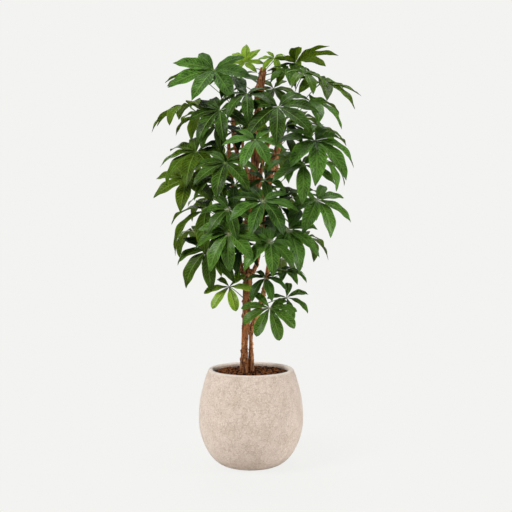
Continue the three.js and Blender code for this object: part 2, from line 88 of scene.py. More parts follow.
# A crumb's sides as shares of the crumb size, how far it may tilt, in radians, and how deep its dents are.
SMALLEST_CRUMB = (0.35, 0.35, 0.3)
LARGEST_CRUMB = (1.0, 1.0, 0.75)
CRUMB_TILT = 0.7
CRUMB_DENTS = 0.9

# The rings on the soil's top, and how far out the first and last are, as shares of the edge's radius.
SOIL_TOP_RINGS = 34
SOIL_TOP_SHARES = (0.985, 0.02)

# ---- Wood, in millimetres ----
# Each limb is a run of (x, y, z, radius).

MAIN_LIMBS = [
    [
        (-25, -23, 210, 13), (-24, -24, 290, 15.4), (-24, -25, 335, 15.4), (-23, -25, 390, 14),
        (-22, -24, 440, 15), (-17, -21, 510, 14.6), (-15, -18, 580, 15.4), (-12, -16, 635, 16.4),
        (-10, -14, 690, 14),
    ],
    [
        (-16, -12, 640, 9), (-36, 5, 705, 7.6), (-46, 15, 795, 7), (-61, 25, 925, 6.2),
        (-70, 30, 1030, 6.4), (-80, 20, 1120, 6.8), (-80, 18, 1155, 6.6),
    ],
    [
        (-10, -15, 660, 12), (-17, -10, 735, 9), (-19, 0, 795, 9.6), (-15, 5, 845, 12.4),
        (-3, 0, 920, 13), (6, -5, 975, 14.5), (12, -10, 1025, 14), (15, -10, 1080, 15.5),
        (14, -5, 1155, 15.5), (16, 0, 1220, 10.5), (27, 5, 1275, 13), (27, 5, 1315, 15.5),
        (38, 0, 1370, 14), (44, -5, 1412, 11),
    ],
    [
        (-5, -16, 655, 9), (21, -35, 715, 7.4), (31, -45, 775, 7.4), (39, -50, 835, 8.2),
        (43, -50, 880, 8.6), (50, -48, 945, 8), (57, -45, 990, 8.4), (76, -40, 1050, 12),
        (91, -32, 1105, 11), (105, -25, 1155, 9.4), (115, -20, 1196, 9),
    ],
    [
        (55, -44, 960, 6), (71, -20, 1000, 7), (88, -5, 1030, 7.4), (94, 8, 1068, 6.4),
        (96, 14, 1104, 5.6),
    ],
    [
        (-4, 3, 905, 8), (-21, 25, 985, 7), (-40, 45, 1070, 7.4), (-54, 55, 1125, 8),
        (-64, 60, 1185, 8.4), (-66, 60, 1250, 8), (-64, 58, 1300, 8.4),
    ],
    [
        (4, -4, 955, 7), (-6, -20, 1010, 6.6), (-16, -30, 1050, 6.4), (-25, -35, 1095, 6.2),
        (-30, -38, 1145, 5.8), (-30, -40, 1192, 5.4),
    ],
    [
        (-6, 2, 895, 8), (22, 10, 960, 8), (30, 14, 1010, 8.4), (40, 22, 1065, 7.6),
        (56, 35, 1125, 6.8), (76, 50, 1176, 6),
    ],
]

SIDE_LIMBS = [
    [
        (4, -2, 225, 10), (2, -3, 290, 11.4), (1, -3, 335, 11.4), (0, -2, 400, 9.4),
        (0, -1, 455, 8.8), (4, 0, 488, 9), (18, 3, 520, 10.2), (31, 6, 556, 10),
        (43, 10, 600, 9.2), (54, 16, 650, 8), (62, 22, 705, 7), (66, 26, 755, 6),
    ],
]

# The steps between two points of a limb, and the facets round it.
LIMB_STEPS = 12
LIMB_SIDES = 24

# How far above and below its middle the gap between the two trunks closes.
GAP_SPREAD = 40

# The long furrows, the same in the bark's form as in its colour: their stretch and their scale in metres.
FURROW_STRETCH = (1.0, 1.0, 0.12)
FURROW_SCALE = 130.0
BARK_BLUR_STEPS = 5

# ---- Leaves, in millimetres and degrees ----
# Each stem carries one leaf or more, the later ones on side stalks. A leaf is
# (x, y, z of its hub, length of its longest leaflet, number of leaflets, compass angle it leans to,
#  tilt of its face away from straight up, how far its leaflets bend down, turn of its fan).

LEAFY_STEMS = [
    # Crown.
    [(-125, -110, 1374, 174, 7, -102, 60, 0, -16)],
    [(-60, -76, 1366, 104, 6, -95, 50, 26, 0)],
    [(-172, 50, 1400, 168, 6, -176, 8, 2, 0), (-60, 40, 1330, 100, 6, -120, 36, 30, 0)],
    [(158, 24, 1428, 168, 7, 0, -12, 6, 0), (120, 70, 1410, 92, 5, 40, 20, 30, 0)],
    [(245, -20, 1352, 176, 7, -56, 34, 12, 20)],
    [(137, -58, 1392, 112, 6, -85, 42, 28, 20)],
    [(-44, 60, 1392, 116, 6, -104, 44, 18, 0)],
    [(84, 96, 1382, 122, 6, -84, 42, 20, 0)],
    # Upper front.
    [(-12, -220, 1262, 122, 6, -96, 46, 34, -14)],
    [(89, -235, 1231, 168, 7, -90, 62, 14, 0)],
    [(202, -80, 1280, 156, 6, -56, 36, 14, 14), (120, -60, 1200, 108, 6, -82, 42, 36, 10)],
    [(178, -150, 1338, 108, 6, -72, 40, 30, 30)],
    [(-100, -200, 1216, 140, 7, -100, 56, 16, -26)],
    [(-206, -60, 1262, 172, 7, -152, 20, 26, -10), (-108, -60, 1194, 124, 6, -104, 42, 34, -10)],
    [(-34, -96, 1180, 96, 5, -105, 44, 36, 0)],
    [(15, -270, 1116, 120, 6, -92, 56, 18, 0)],
    [(212, -190, 1118, 178, 8, -76, 50, 28, 12)],
    [(256, 50, 1104, 146, 6, -50, 44, 40, 30), (250, 10, 1212, 116, 6, -46, 34, 32, 10)],
    [(-185, -130, 1107, 170, 8, -112, 48, 24, -20)],
    # Middle front.
    [(-80, -262, 1034, 142, 7, -94, 54, 22, -6)],
    [(-120, -120, 1000, 116, 5, -110, 42, 36, -30), (-52, -150, 975, 104, 5, -104, 50, 36, 0)],
    [(-224, -16, 1012, 160, 7, -94, 52, 6, -8)],
    [(172, -214, 1034, 142, 5, -84, 62, 26, 0), (122, -170, 1060, 100, 5, -80, 46, 36, 0)],
    [(40, -292, 911, 142, 7, -86, 54, 24, -16)],
    [(44, -180, 1000, 100, 5, -95, 46, 36, 10), (100, -60, 920, 108, 6, -84, 42, 38, 14)],
    [(-72, -242, 902, 118, 6, -98, 60, 24, -12)],
    [(-152, -70, 898, 192, 6, -112, 46, 52, -10)],
    [(226, -84, 918, 150, 7, -72, 56, 22, 12)],
    [(198, 34, 966, 126, 6, -56, 42, 42, 34)],
    # Lower front.
    [(-70, -210, 823, 144, 8, -100, 50, 32, -12), (-34, -90, 770, 96, 5, -100, 42, 40, -10)],
    [(-152, -120, 768, 162, 7, -94, 58, 36, -8)],
    [(66, -238, 784, 142, 7, -88, 54, 26, -48)],
    [(126, -160, 826, 160, 7, -72, 48, 26, 14)],
    [(64, -132, 574, 120, 8, -92, 58, 24, -4)],
    [(50, -62, 650, 104, 6, -96, 44, 34, -10)],
    [(124, -72, 594, 106, 6, -76, 54, 32, 28)],
    [(124, 32, 684, 96, 7, -80, 20, 26, 60)],
    # Back.
    [(-196, 130, 1268, 130, 6, 148, 26, 40, 0)],
    [(12, 232, 1282, 132, 6, 88, 32, 40, 0)],
    [(196, 158, 1268, 128, 6, 38, 28, 42, 0)],
    [(-104, 238, 1154, 138, 6, 114, 34, 40, 0), (-110, 120, 1180, 104, 5, -110, 22, 44, 0)],
    [(106, 248, 1136, 140, 7, 66, 36, 40, 0), (130, 120, 1180, 104, 5, -70, 22, 44, 0)],
    [(-236, 104, 1096, 134, 6, 158, 30, 44, 0)],
    [(-6, 272, 1016, 140, 7, 92, 38, 40, 0), (10, 130, 1060, 110, 5, -100, 22, 46, 0)],
    [(-164, 206, 968, 136, 6, 130, 38, 42, 0), (-120, 90, 1000, 110, 5, -120, 24, 44, 0)],
    [(156, 226, 966, 136, 6, 54, 38, 42, 0), (120, 100, 990, 110, 6, -60, 24, 44, 0)],
    [(-66, 236, 868, 134, 6, 104, 42, 40, 0), (-60, 110, 900, 104, 6, -105, 28, 42, 0)],
    [(78, 226, 842, 134, 6, 70, 42, 40, 0), (70, 110, 880, 104, 6, -75, 28, 42, 0)],
    [(-214, 66, 832, 134, 6, 166, 38, 44, 0)],
    [(208, 104, 812, 130, 6, 26, 40, 42, 0)],
    [(-120, 150, 748, 124, 6, 130, 44, 42, 0)],
    [(116, 150, 728, 116, 6, 52, 44, 42, 0)],
]

# Young leaves are brighter, and each is a stem of its own.
YOUNG_STEMS = [
    [(-20, -6, 1426, 92, 7, 84, -64, 6, 0)],
    [(84, 40, 1434, 72, 6, -95, 54, 14, -10)],
    [(-76, -46, 618, 104, 6, -100, 54, 16, 0)],
    [(-36, 70, 682, 84, 5, -120, 34, 24, -60)],
]

YOUNG_SEED = 201
LEAFY_SEED = 1
LEAF_SEED_STEP = 0.37

# The moves by which a stem keeps clear of its neighbours, and the places on the wood it may grow from.
TURNS = (0, 12, -12, 24, -24)
LEANS = (0, 8, -8, 16)
DEPTHS = (0, -14, 14, -28, 28, -42, 42)
DROPS = (0, 12, -12)
ROOT_RANKS = (0, 2, 5, 9)
BUDS_A_STRETCH = 4
LOWEST_BUD = 480

# The leaflets of a fan: how they rise, spread, stray, shorten to the back and bend.
LEAFLET_RISE = 18
LEAFLET_FAN = 262
LEAFLET_STRAY = 12
SHORTER_AT_THE_BACK = 0.3
LEAST_LENGTH = 0.94
LENGTH_SCATTER = 0.1
LEAST_BEND = 10
BEND_SCATTER = 34
MIDDLE_BEND = 0.3
FULL_HANG_BEND = 80

# A leaflet's full width as a share of its length and its fold, each with its least share and scatter.
LEAFLET_WIDTH = 0.34
LEAST_WIDTH = 0.95
WIDTH_SCATTER = 0.14
LEAFLET_FOLD = 13
LEAST_FOLD = 0.7
FOLD_SCATTER = 0.8
FOLD_CURVE = 0.35
WAVES_ALONG = 17.0
WAVE_SLANT = 1.3
WAVE_SCATTER = 6.28

# Where each kind of random draw starts in the numbers of a leaf's seed.
STRAY_DRAW = 0
LENGTH_DRAW = 20
BEND_DRAW = 40
TONE_DRAW = 60
OLIVE_DRAW = 61
WIDTH_DRAW = 80
FOLD_DRAW = 100
WAVE_DRAW = 120
LEAFLET_TONE_DRAW = 140
BLUNT_DRAW = 160

# How a stalk leaves the wood and comes in under its hub, as shares of the way between the two.
STALK_FORWARD = 0.3
STALK_LIFT = 0.04
STALK_BELOW_HUB = 0.3
STALK_BEHIND_HUB = 0.22
HUB_DEPTH = 4.2
SIDE_STALK_SHARE = 0.45

# A stem grows from wood this far below its hub: a share of its way out, and a length. Its root is sunk
# into the limb by a share of the limb's radius.
ROOT_FALL = 0.3
ROOT_DROP = 15
ROOT_SINK = 0.45

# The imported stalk's radii at both ends, and where on its way it is looked for.
STALK_RADII = (2.6, 1.6)
STALK_SAMPLES = (0.4, 0.6, 0.8)
STALK_TEST_POINTS = 201
FIT_LIMIT = 0.3

# Half-width of a leaflet, as a share of its full width, along the way from hub to tip.
LEAFLET_OUTLINE = [
    (0.0, 0.0), (0.03, 0.045), (0.07, 0.11), (0.12, 0.22), (0.2, 0.35), (0.32, 0.46), (0.45, 0.5),
    (0.59, 0.465), (0.7, 0.375), (0.8, 0.26), (0.89, 0.14), (0.96, 0.05), (1.0, 0.0),
]

# The leaves lowest on the tree have leaflets that are broadest near a blunt tip.
BLUNT_LEAF_HEIGHT = 640
BLUNTNESS = 0.8
ROUNDNESS = 0.45
CHANCE_BLUNTNESS = 0.35

# Leaves further back than this are olive, and so are those that stand this far out to one side. Those
# on the other side and the lowest ones are olive by a smaller share. The olive is painted light,
# shining onto and through the leaves.
BACK_LEAF_DEPTH = 60
OLIVE_REACH = 220
MOST_OLIVE = 0.8
OTHER_SIDE_OLIVE = 0.35
LOW_LEAF_OLIVE = 0.25
OLIVE_SCATTER = 0.2

# A leaf's tone goes from 0, dark, over 1, pale, up to the palest. The leaves above the crown's height,
# those on the right and the lowest ones are paler than the others: painted light.
CROWN_HEIGHT = 1300
PAINTED_LIGHT_IN_THE_CROWN = 0.5
PAINTED_LIGHT_ON_THE_RIGHT = 0.8
PAINTED_LIGHT_ON_LOW_LEAVES = 0.8
TONE_SCATTER = 0.5
PALEST_TONE = 1.3

# The tier of leaves that the crown shades, on the left and in the middle.
SHADED_HEIGHT = 1130
SHADED_SIDE = 150
DARKER_IN_SHADE = 0.8

# ---- Settings ----


def display_colour(red, green, blue):
    """A colour of 0 to 255 a channel, as the linear values that Blender works in."""
    shares = [channel / 255 for channel in (red, green, blue)]
    return tuple(s / 12.92 if s <= 0.04045 else ((s + 0.055) / 1.055) ** 2.4 for s in shares)


def colour_of(name, description, red, green, blue):
    shade = display_colour(red, green, blue)
    return FloatVectorProperty(
        name=name, description=description, subtype="COLOR", size=3, min=0, max=1, default=shade
    )


def length_of(name, description, millimetres):
    return FloatProperty(
        name=name, description=description, unit="LENGTH", min=0, default=millimetres * MM
    )


def share_of(name, description, default):
    return FloatProperty(
        name=name, description=description, subtype="FACTOR", min=0, max=1, default=default
    )


def count_of(name, description, default, least=1):
    return IntProperty(name=name, description=description, min=least, default=default)


def number_of(name, description, default, unit="NONE"):
    return FloatProperty(name=name, description=description, unit=unit, default=default)


class PotSettings(bpy.types.PropertyGroup):
    """Sizes and colours of the pot."""

    sides: count_of("Sides", "Facets round the pot", 128, least=16)
    stone: colour_of("Stone", "Main colour of the pot", 226, 207, 192)
    cloud: colour_of("Clouding", "Darker clouds in the stone", 207, 185, 166)
    # The flecks' colour also paints a highlight on the rim's top.
    fleck_and_rim_highlight: colour_of("Flecks", "Pale flecks in the stone", 250, 239, 227)
    # The pits' colour also paints shade towards the pot's foot.
    pit_and_foot_shade: colour_of("Pits", "Small dark pits in the stone", 178, 153, 132)
    rim_height: length_of("Rim height", "Height of the rim's top", 336)
    roughness: share_of("Roughness", "How dull the stone is", 0.88)


class SoilSettings(bpy.types.PropertyGroup):
    """Sizes and colours of the soil."""

    relief: length_of("Relief", "How far the surface rises and falls", 5.0)
    crumbs: count_of("Crumbs", "Crumbs on a square metre of soil", 28000)
    crumb_size: length_of("Crumb size", "Radius of the largest crumbs", 6.2)
    seed: count_of("Seed", "Seed of the places of the crumbs", 7)
    dark: colour_of("Dark crumbs", "Colour of the darkest crumbs", 6, 2, 0)
    light: colour_of("Light crumbs", "Colour of the palest crumbs", 146, 90, 50)


class BarkSettings(bpy.types.PropertyGroup):
    """Sizes and colours of the wood."""

    fineness: length_of("Fineness", "Size of the smallest form in the bark", 2.0)
    relief: length_of("Relief", "Depth of the long furrows in the bark", 1.3)
    knobs: length_of("Knobs", "Height of the small knobs on the bark", 3.6)
    gap: share_of("Gap", "How much slimmer the two trunks are where they stand apart", 0.22)
    gap_height: length_of("Gap height", "Height where the two trunks stand apart", 430)
    low: colour_of("Low bark", "Colour of the main trunk near the soil", 150, 92, 50)
    # The side trunk's low colour is paler than the main trunk's: painted light where the main trunk shades
    # it.
    side_low_painted_light: colour_of("Low side bark", "Colour of the side trunk near the soil", 214, 148, 98)
    high: colour_of("High bark", "Colour in the crown", 174, 112, 68)
    furrow: colour_of("Furrows", "Colour in the furrows", 58, 30, 14)
    flake: colour_of("Flakes", "Colour of the pale flakes between the furrows", 206, 158, 112)
    change_height: length_of("Change height", "Height where the colour changes", 620)


class LeafSettings(bpy.types.PropertyGroup):
    """Sizes and colours of the leaves and their stalks."""

    steps_along: count_of("Steps along", "Facets along a leaflet", 20, least=4)
    steps_round: count_of("Steps round", "Facets round a leaflet", 12, least=8)
    thickness: length_of("Thickness", "Thickness of a blade", 0.7)
    rib_depth: length_of("Rib depth", "How far the rib stands out below a blade", 1.3)
    wave: share_of("Wave", "Height of the waves in a blade's edge, for its length", 0.014)
    stalk_sides: count_of("Stalk sides", "Facets round a stalk", 8, least=3)
    vein_pairs: count_of("Vein pairs", "Pairs of side veins in a leaflet", 12)
    # Open air, dense from and crown from bound the painted shade inside the canopy.
    open_air: length_of("Open air", "From the trunk to where the leaves take their full colour", 260)
    dense_from: length_of("Dense from", "Height from which the leaves shade one another", 600)
    crown_from: length_of("Crown from", "Height from which the leaves stand in full light", 1250)
    # The dark leaf colour also paints the shade inside the canopy.
    dark: colour_of("Dark leaf", "Upper side of the darkest leaves", 2, 26, 0)
    light: colour_of("Light leaf", "Upper side of the palest leaves", 104, 158, 58)
    olive: colour_of("Olive leaf", "Upper side of the leaves that get most light", 92, 114, 6)
    rib: colour_of("Rib", "Ribs and veins", 128, 164, 76)
    hub: colour_of("Hub", "Hubs and the pale foot of each leaflet", 184, 196, 146)
    under: colour_of("Underside", "Lower side of the leaves", 88, 112, 8)
    young: colour_of("Young leaf", "Upper side of the young leaves", 148, 182, 50)
    young_shade: colour_of("Young shade", "Upper side of the young leaves, at its darkest", 92, 130, 20)
    young_under: colour_of("Young underside", "Lower side of the young leaves", 142, 170, 60)
    young_rib: colour_of("Young rib", "Ribs of the young leaves", 176, 200, 108)
    stalk: colour_of("Stalk", "Stalks of the leaves", 92, 122, 52)
    roughness: share_of("Roughness", "How dull a blade is", 0.54)
    # A painted sheen in broken spots between the veins.
    painted_sheen: share_of("Bloom", "How much paler a blade is in broken spots between its veins", 0.07)
    gloss: share_of("Gloss", "How glossy the palest blades are", 0.45)
    fold: number_of("Fold", "How far a blade looks folded along its rib", 3.5)


class StudioSettings(bpy.types.PropertyGroup):
    """The camera, lights and floor."""

    distance: length_of("Distance", "From the pot's middle to the camera", 2350)
    height: length_of("Height", "Height of the camera", 738.4)
    aside: length_of("Aside", "How far the camera stands to the right", 17.9)
    lens: number_of("Lens", "Focal length", 46.15, unit="CAMERA")
    pale: colour_of("Pale", "Floor and backdrop", 243, 243, 241)
    key: number_of("Key light", "Power of the main light", 88, unit="POWER")
    fill: number_of("Fill light", "Power of the side light", 48, unit="POWER")
    top: number_of("Top light", "Power of the light above", 44, unit="POWER")
    back: number_of("Back light", "Power of the light behind", 28, unit="POWER")
    sky: share_of("Sky", "Strength of the even light all round", 0.04)


class MoneyTreeSettings(bpy.types.PropertyGroup):
    """All settings of the tree and its studio."""

    pot: PointerProperty(type=PotSettings)
    soil: PointerProperty(type=SoilSettings)
    bark: PointerProperty(type=BarkSettings)
    leaf: PointerProperty(type=LeafSettings)
    studio: PointerProperty(type=StudioSettings)


# ---- Nodes ----


class Wire:
    """A value that runs through a node tree. Arithmetic with it adds the nodes that work it out."""

    def __init__(self, tree, socket):
        self.tree = tree
        self.socket = socket

    def is_vector(self):
        return self.socket.type in ("VECTOR", "RGBA")

    def maths(self, operation, *others):
        return run(self.tree, "ShaderNodeMath", dict(enumerate([self, *others])), operation=operation)

    def combined(self, operation, other):
        kind = "ShaderNodeVectorMath" if self.is_vector() else "ShaderNodeMath"
        return run(self.tree, kind, {0: self, 1: other}, operation=operation)

    def __add__(self, other):
        return self.combined("ADD", other)

    def __sub__(self, other):
        return self.combined("SUBTRACT", other)

    def __rsub__(self, other):
        return run(self.tree, "ShaderNodeMath", {0: other, 1: self}, operation="SUBTRACT")

    def __mul__(self, other):
        if isinstance(other, Wire) and other.is_vector():
            return other.scaled(self)
        if self.is_vector() and not isinstance(other, tuple):
            return self.scaled(other)
        return self.combined("MULTIPLY", other)

    def __truediv__(self, other):
        return self.combined("DIVIDE", other)

    def __neg__(self):
        return self * -1

    def __abs__(self):
        return self.maths("ABSOLUTE")

    def scaled(self, size):
        return run(self.tree, "ShaderNodeVectorMath", {0: self, "Scale": size}, operation="SCALE")

    def length(self):
        return run(self.tree, "ShaderNodeVectorMath", {0: self}, output="Value", operation="LENGTH")

    def axis(self, name):
        """One of the three numbers of a vector."""
        return run(self.tree, "ShaderNodeSeparateXYZ", {0: self}, output=name)

    def ramp(self, low, high):
        """A smooth change from 0 at low to 1 at high."""
        inputs = {"Value": self, "From Min": low, "From Max": high}
        return run(self.tree, "ShaderNodeMapRange", inputs, interpolation_type="SMOOTHSTEP")

    def step(self, kind, inputs, **settings):
        """The geometry after one more geometry node."""
        return run(self.tree, f"GeometryNode{kind}", {"Geometry": self, **inputs}, **settings)


def plug(tree, value, socket):
    if isinstance(value, Wire):
        tree.links.new(value.socket, socket)
    elif socket.type == "RGBA" and len(value) == 3:
        socket.default_value = (*value, 1)
    else:
        socket.default_value = value


def run(tree, kind, inputs, output=0, **settings):
    """Adds a node, feeds its inputs and returns one of its outputs."""
    node = tree.nodes.new(kind)
    for name, value in settings.items():
        setattr(node, name, value)
    for name, value in inputs.items():
        plug(tree, value, node.inputs[name])
    return Wire(tree, node.outputs[output])


def noise(place, scale, detail, output=0):
    inputs = {"Vector": place, "Scale": scale, "Detail": detail}
    return run(place.tree, "ShaderNodeTexNoise", inputs, output=output)


def lay_out(tree):
    """Spreads the nodes of a tree in rows, in the order in which they were added."""
    for index, node in enumerate(tree.nodes):
        node.location = (220 * (index % 12), -260 * (index // 12))


# The kind of socket that a default of each type makes. Sockets without a default give their own kind.
SOCKET_KINDS = {float: "NodeSocketFloat", int: "NodeSocketInt"}


def node_group(name, kind, inputs, outputs, wire_up):
    """The node group of that name, made once. Its wire_up function makes outputs out of inputs."""
    if name in bpy.data.node_groups:
        return bpy.data.node_groups[name]
    tree = bpy.data.node_groups.new(name, kind)
    for label, default in inputs.items():
        socket_kind = SOCKET_KINDS.get(type(default), default)
        socket = tree.interface.new_socket(label, in_out="INPUT", socket_type=socket_kind)
        if socket_kind != default:
            socket.default_value = default
    for label, socket_kind in outputs.items():
        tree.interface.new_socket(label, in_out="OUTPUT", socket_type=socket_kind)
    entry = tree.nodes.new("NodeGroupInput")
    wires = {socket.name: Wire(tree, socket) for socket in entry.outputs if socket.name}
    results = wire_up(wires)
    exit_node = tree.nodes.new("NodeGroupOutput")
    for label, wire in results.items():
        tree.links.new(wire.socket, exit_node.inputs[label])
    lay_out(tree)
    return tree


# ---- Finishes ----


def masks_from(tree, name, inputs, values, outputs, wire_up):
    """What a shader node group puts out for the given values. The group is made on its first use."""
    kinds = dict.fromkeys(outputs, "NodeSocketFloat")
    node = tree.nodes.new("ShaderNodeGroup")
    node.node_tree = node_group(name, "ShaderNodeTree", inputs, kinds, wire_up)
    for label, value in values.items():
        plug(tree, value, node.inputs[label])
    return [Wire(tree, node.outputs[label]) for label in outputs]


def blotch_noise(wires):
    height = noise(wires["Vector"], wires["Scale"], wires["Detail"])
    return {"Mask": height.ramp(wires["Low"], wires["High"]), "Height": height}


def blotches(place, scale, low, high, detail=3.0):
    """Mask and height of soft-edged blotches of any size, from clouding down to specks."""
    inputs = {"Vector": "NodeSocketVector", "Scale": 20.0, "Detail": 3.0, "Low": 0.45, "High": 0.6}
    values = {"Vector": place, "Scale": scale, "Detail": detail, "Low": low, "High": high}
    return masks_from(place.tree, "Blotches", inputs, values, ("Mask", "Height"), blotch_noise)


def vein_lines(wires):
    along = wires["Along"]
    aside = abs(wires["Across"])
    rib_width = (1 - along) * 0.06 + 0.02
    rib = (aside / rib_width).ramp(1.3, 0.5)
    lean = aside * wires["Slant"] + aside * aside * 0.05
    stagger = wires["Across"].maths("SIGN") * 0.25
    phase = (along - lean) * wires["Pairs"] + stagger + wires["Wander"]
    distance = phase.maths("PINGPONG", 0.5)
    fade = aside.ramp(1.0, 0.75)
    veins = distance.ramp(0.12, 0.0) * fade
    swelling = distance.ramp(0.0, 0.42) * fade * aside.ramp(0.0, 0.25)
    return {"Rib": rib, "Veins": veins, "Swelling": swelling}


def leaf_veins(along, across, pairs, wander):
    """Ribs, side veins and the swelling between them, on a leaflet read along and across."""
    inputs = {"Along": 0.0, "Across": 0.0, "Pairs": 12.0, "Slant": 0.14, "Wander": 0.0}
    values = {"Along": along, "Across": across, "Pairs": float(pairs), "Wander": wander}
    outputs = ("Rib", "Veins", "Swelling")
    return masks_from(along.tree, "Leaf veins", inputs, values, outputs, vein_lines)


def mixed(share, first, second):
    """A colour between two, by a share from 0 to 1."""
    inputs = {0: share, 6: first, 7: second}
    return run(share.tree, "ShaderNodeMix", inputs, output=2, data_type="RGBA")


def layered(shade, *layers):
    """A colour under layers of others, each laid on in turn by its share from 0 to 1."""
    for share, colour in layers:
        shade = mixed(share, shade, colour)
    return shade


def bumped(height, depth):
    return run(height.tree, "ShaderNodeBump", {"Height": height, "Distance": depth})


def attribute(tree, name):
    return run(tree, "ShaderNodeAttribute", {}, output="Fac", attribute_name=name)


def object_place(tree):
    return run(tree, "ShaderNodeTexCoord", {}, output="Object")


def surfaced(owner, output_kind, shader_from):
    """A material or world whose emptied tree ends in the shader that the given function makes."""
    owner.use_nodes = True
    tree = owner.node_tree
    tree.nodes.clear()
    shader = shader_from(tree)
    surface = tree.nodes.new(output_kind)
    tree.links.new(shader.socket, surface.inputs["Surface"])
    lay_out(tree)
    return owner


def new_material(name, paint):
    """A material of that name, once, whose shader's inputs come from the paint function."""
    if name in bpy.data.materials:
        return bpy.data.materials[name]

    def shader(tree):
        return run(tree, "ShaderNodeBsdfPrincipled", paint(tree))

    return surfaced(bpy.data.materials.new(name), "ShaderNodeOutputMaterial", shader)


def pot_stone(settings):
    def paint(tree):
        place = object_place(tree)
        height = place.axis("Z")
        clouds, _ = blotches(place, 20.0, 0.42, 0.66, detail=6.0)
        streaks, _ = blotches(place * (1.0, 1.0, 0.3), 55.0, 0.42, 0.66, detail=4.0)
        flecks, _ = blotches(place, 300.0, 0.5, 0.62, detail=5.0)
        pits, pit_height = blotches(place + (0.3, 0.2, 0.1), 260.0, 0.56, 0.68, detail=4.0)
        _, stroke_height = blotches(place + (0.1, 0.4, 0.2), 62.0, 0.4, 0.6, detail=5.0)
        _, grain = blotches(place, 480.0, 0.4, 0.6)
        strokes = abs(stroke_height - 0.5).ramp(0.022, 0.006)
        top = settings.rim_height
        shade = layered(
            settings.stone,
            (clouds * 0.55, settings.cloud),
            (streaks * 0.4, settings.cloud),
            (flecks * 0.55, settings.fleck_and_rim_highlight),
            (strokes * 0.55, settings.pit_and_foot_shade),
            (pits * 0.5, settings.pit_and_foot_shade),
            # Painted highlight on the rim's top, in the flecks' colour.
            (height.ramp(top - 0.006, top - 0.001) * 0.6, settings.fleck_and_rim_highlight),
            # Painted shade towards the pot's foot, in the pits' colour.
            (height.ramp(0.06, 0.0) * 0.5, settings.pit_and_foot_shade),
        )
        relief = grain * 0.5 + flecks * 0.3 - strokes * 0.3 - pit_height.ramp(0.55, 0.72)
        return {
            "Base Color": shade,
            "Roughness": settings.roughness,
            "Sheen Weight": 0.3,
            "Normal": bumped(relief, 0.0008),
        }

    return new_material("pot_stone", paint)


def soil_crumbs(settings):
    def paint(tree):
        place = object_place(tree)
        patches, _ = blotches(place, 70.0, 0.35, 0.7)
        _, grain = blotches(place, 700.0, 0.4, 0.6)
        tone = attribute(tree, "tone") * 0.85 + patches * 0.25 + grain * 0.3 - 0.2
        return {
            "Base Color": mixed(tone.ramp(0.25, 0.85), settings.dark, settings.light),
            "Roughness": 0.92,
            "Specular IOR Level": 0.1,
            "Normal": bumped(grain, 0.001),
        }

    return new_material("soil_crumbs", paint)


def fibrous_bark(name, settings, low):
    """The finish of a trunk, with its colour near the soil."""

    def paint(tree):
        place = object_place(tree)
        fibres, fibre_height = blotches(place * (1.0, 1.0, 0.1), 420.0, 0.42, 0.66)
        furrows, furrow_height = blotches(place * FURROW_STRETCH, FURROW_SCALE, 0.53, 0.63)
        specks, speck_height = blotches(place * (0.5, 0.5, 1.2), 190.0, 0.6, 0.66, detail=2.0)
        patches, _ = blotches(place, 30.0, 0.38, 0.62)
        flakes, _ = blotches(place * (1.0, 1.0, 0.3) + (0.2, 0.1, 0.3), 120.0, 0.54, 0.64)
        change = settings.change_height
        shade = layered(
            low,
            ((place.axis("Z") + patches * 0.14).ramp(change - 0.2, change + 0.3), settings.high),
            (fibres * 0.45, settings.furrow),
            (flakes * 0.5, settings.flake),
            (furrows * 0.85, settings.furrow),
            (specks * 0.9, settings.furrow),
        )
        relief = fibre_height * 0.4 - furrow_height - speck_height.ramp(0.58, 0.68) * 0.3
        return {
            "Base Color": shade,
            "Roughness": 0.85,
            "Specular IOR Level": 0.3,
            "Normal": bumped(relief, 0.004),
        }

    return new_material(name, paint)


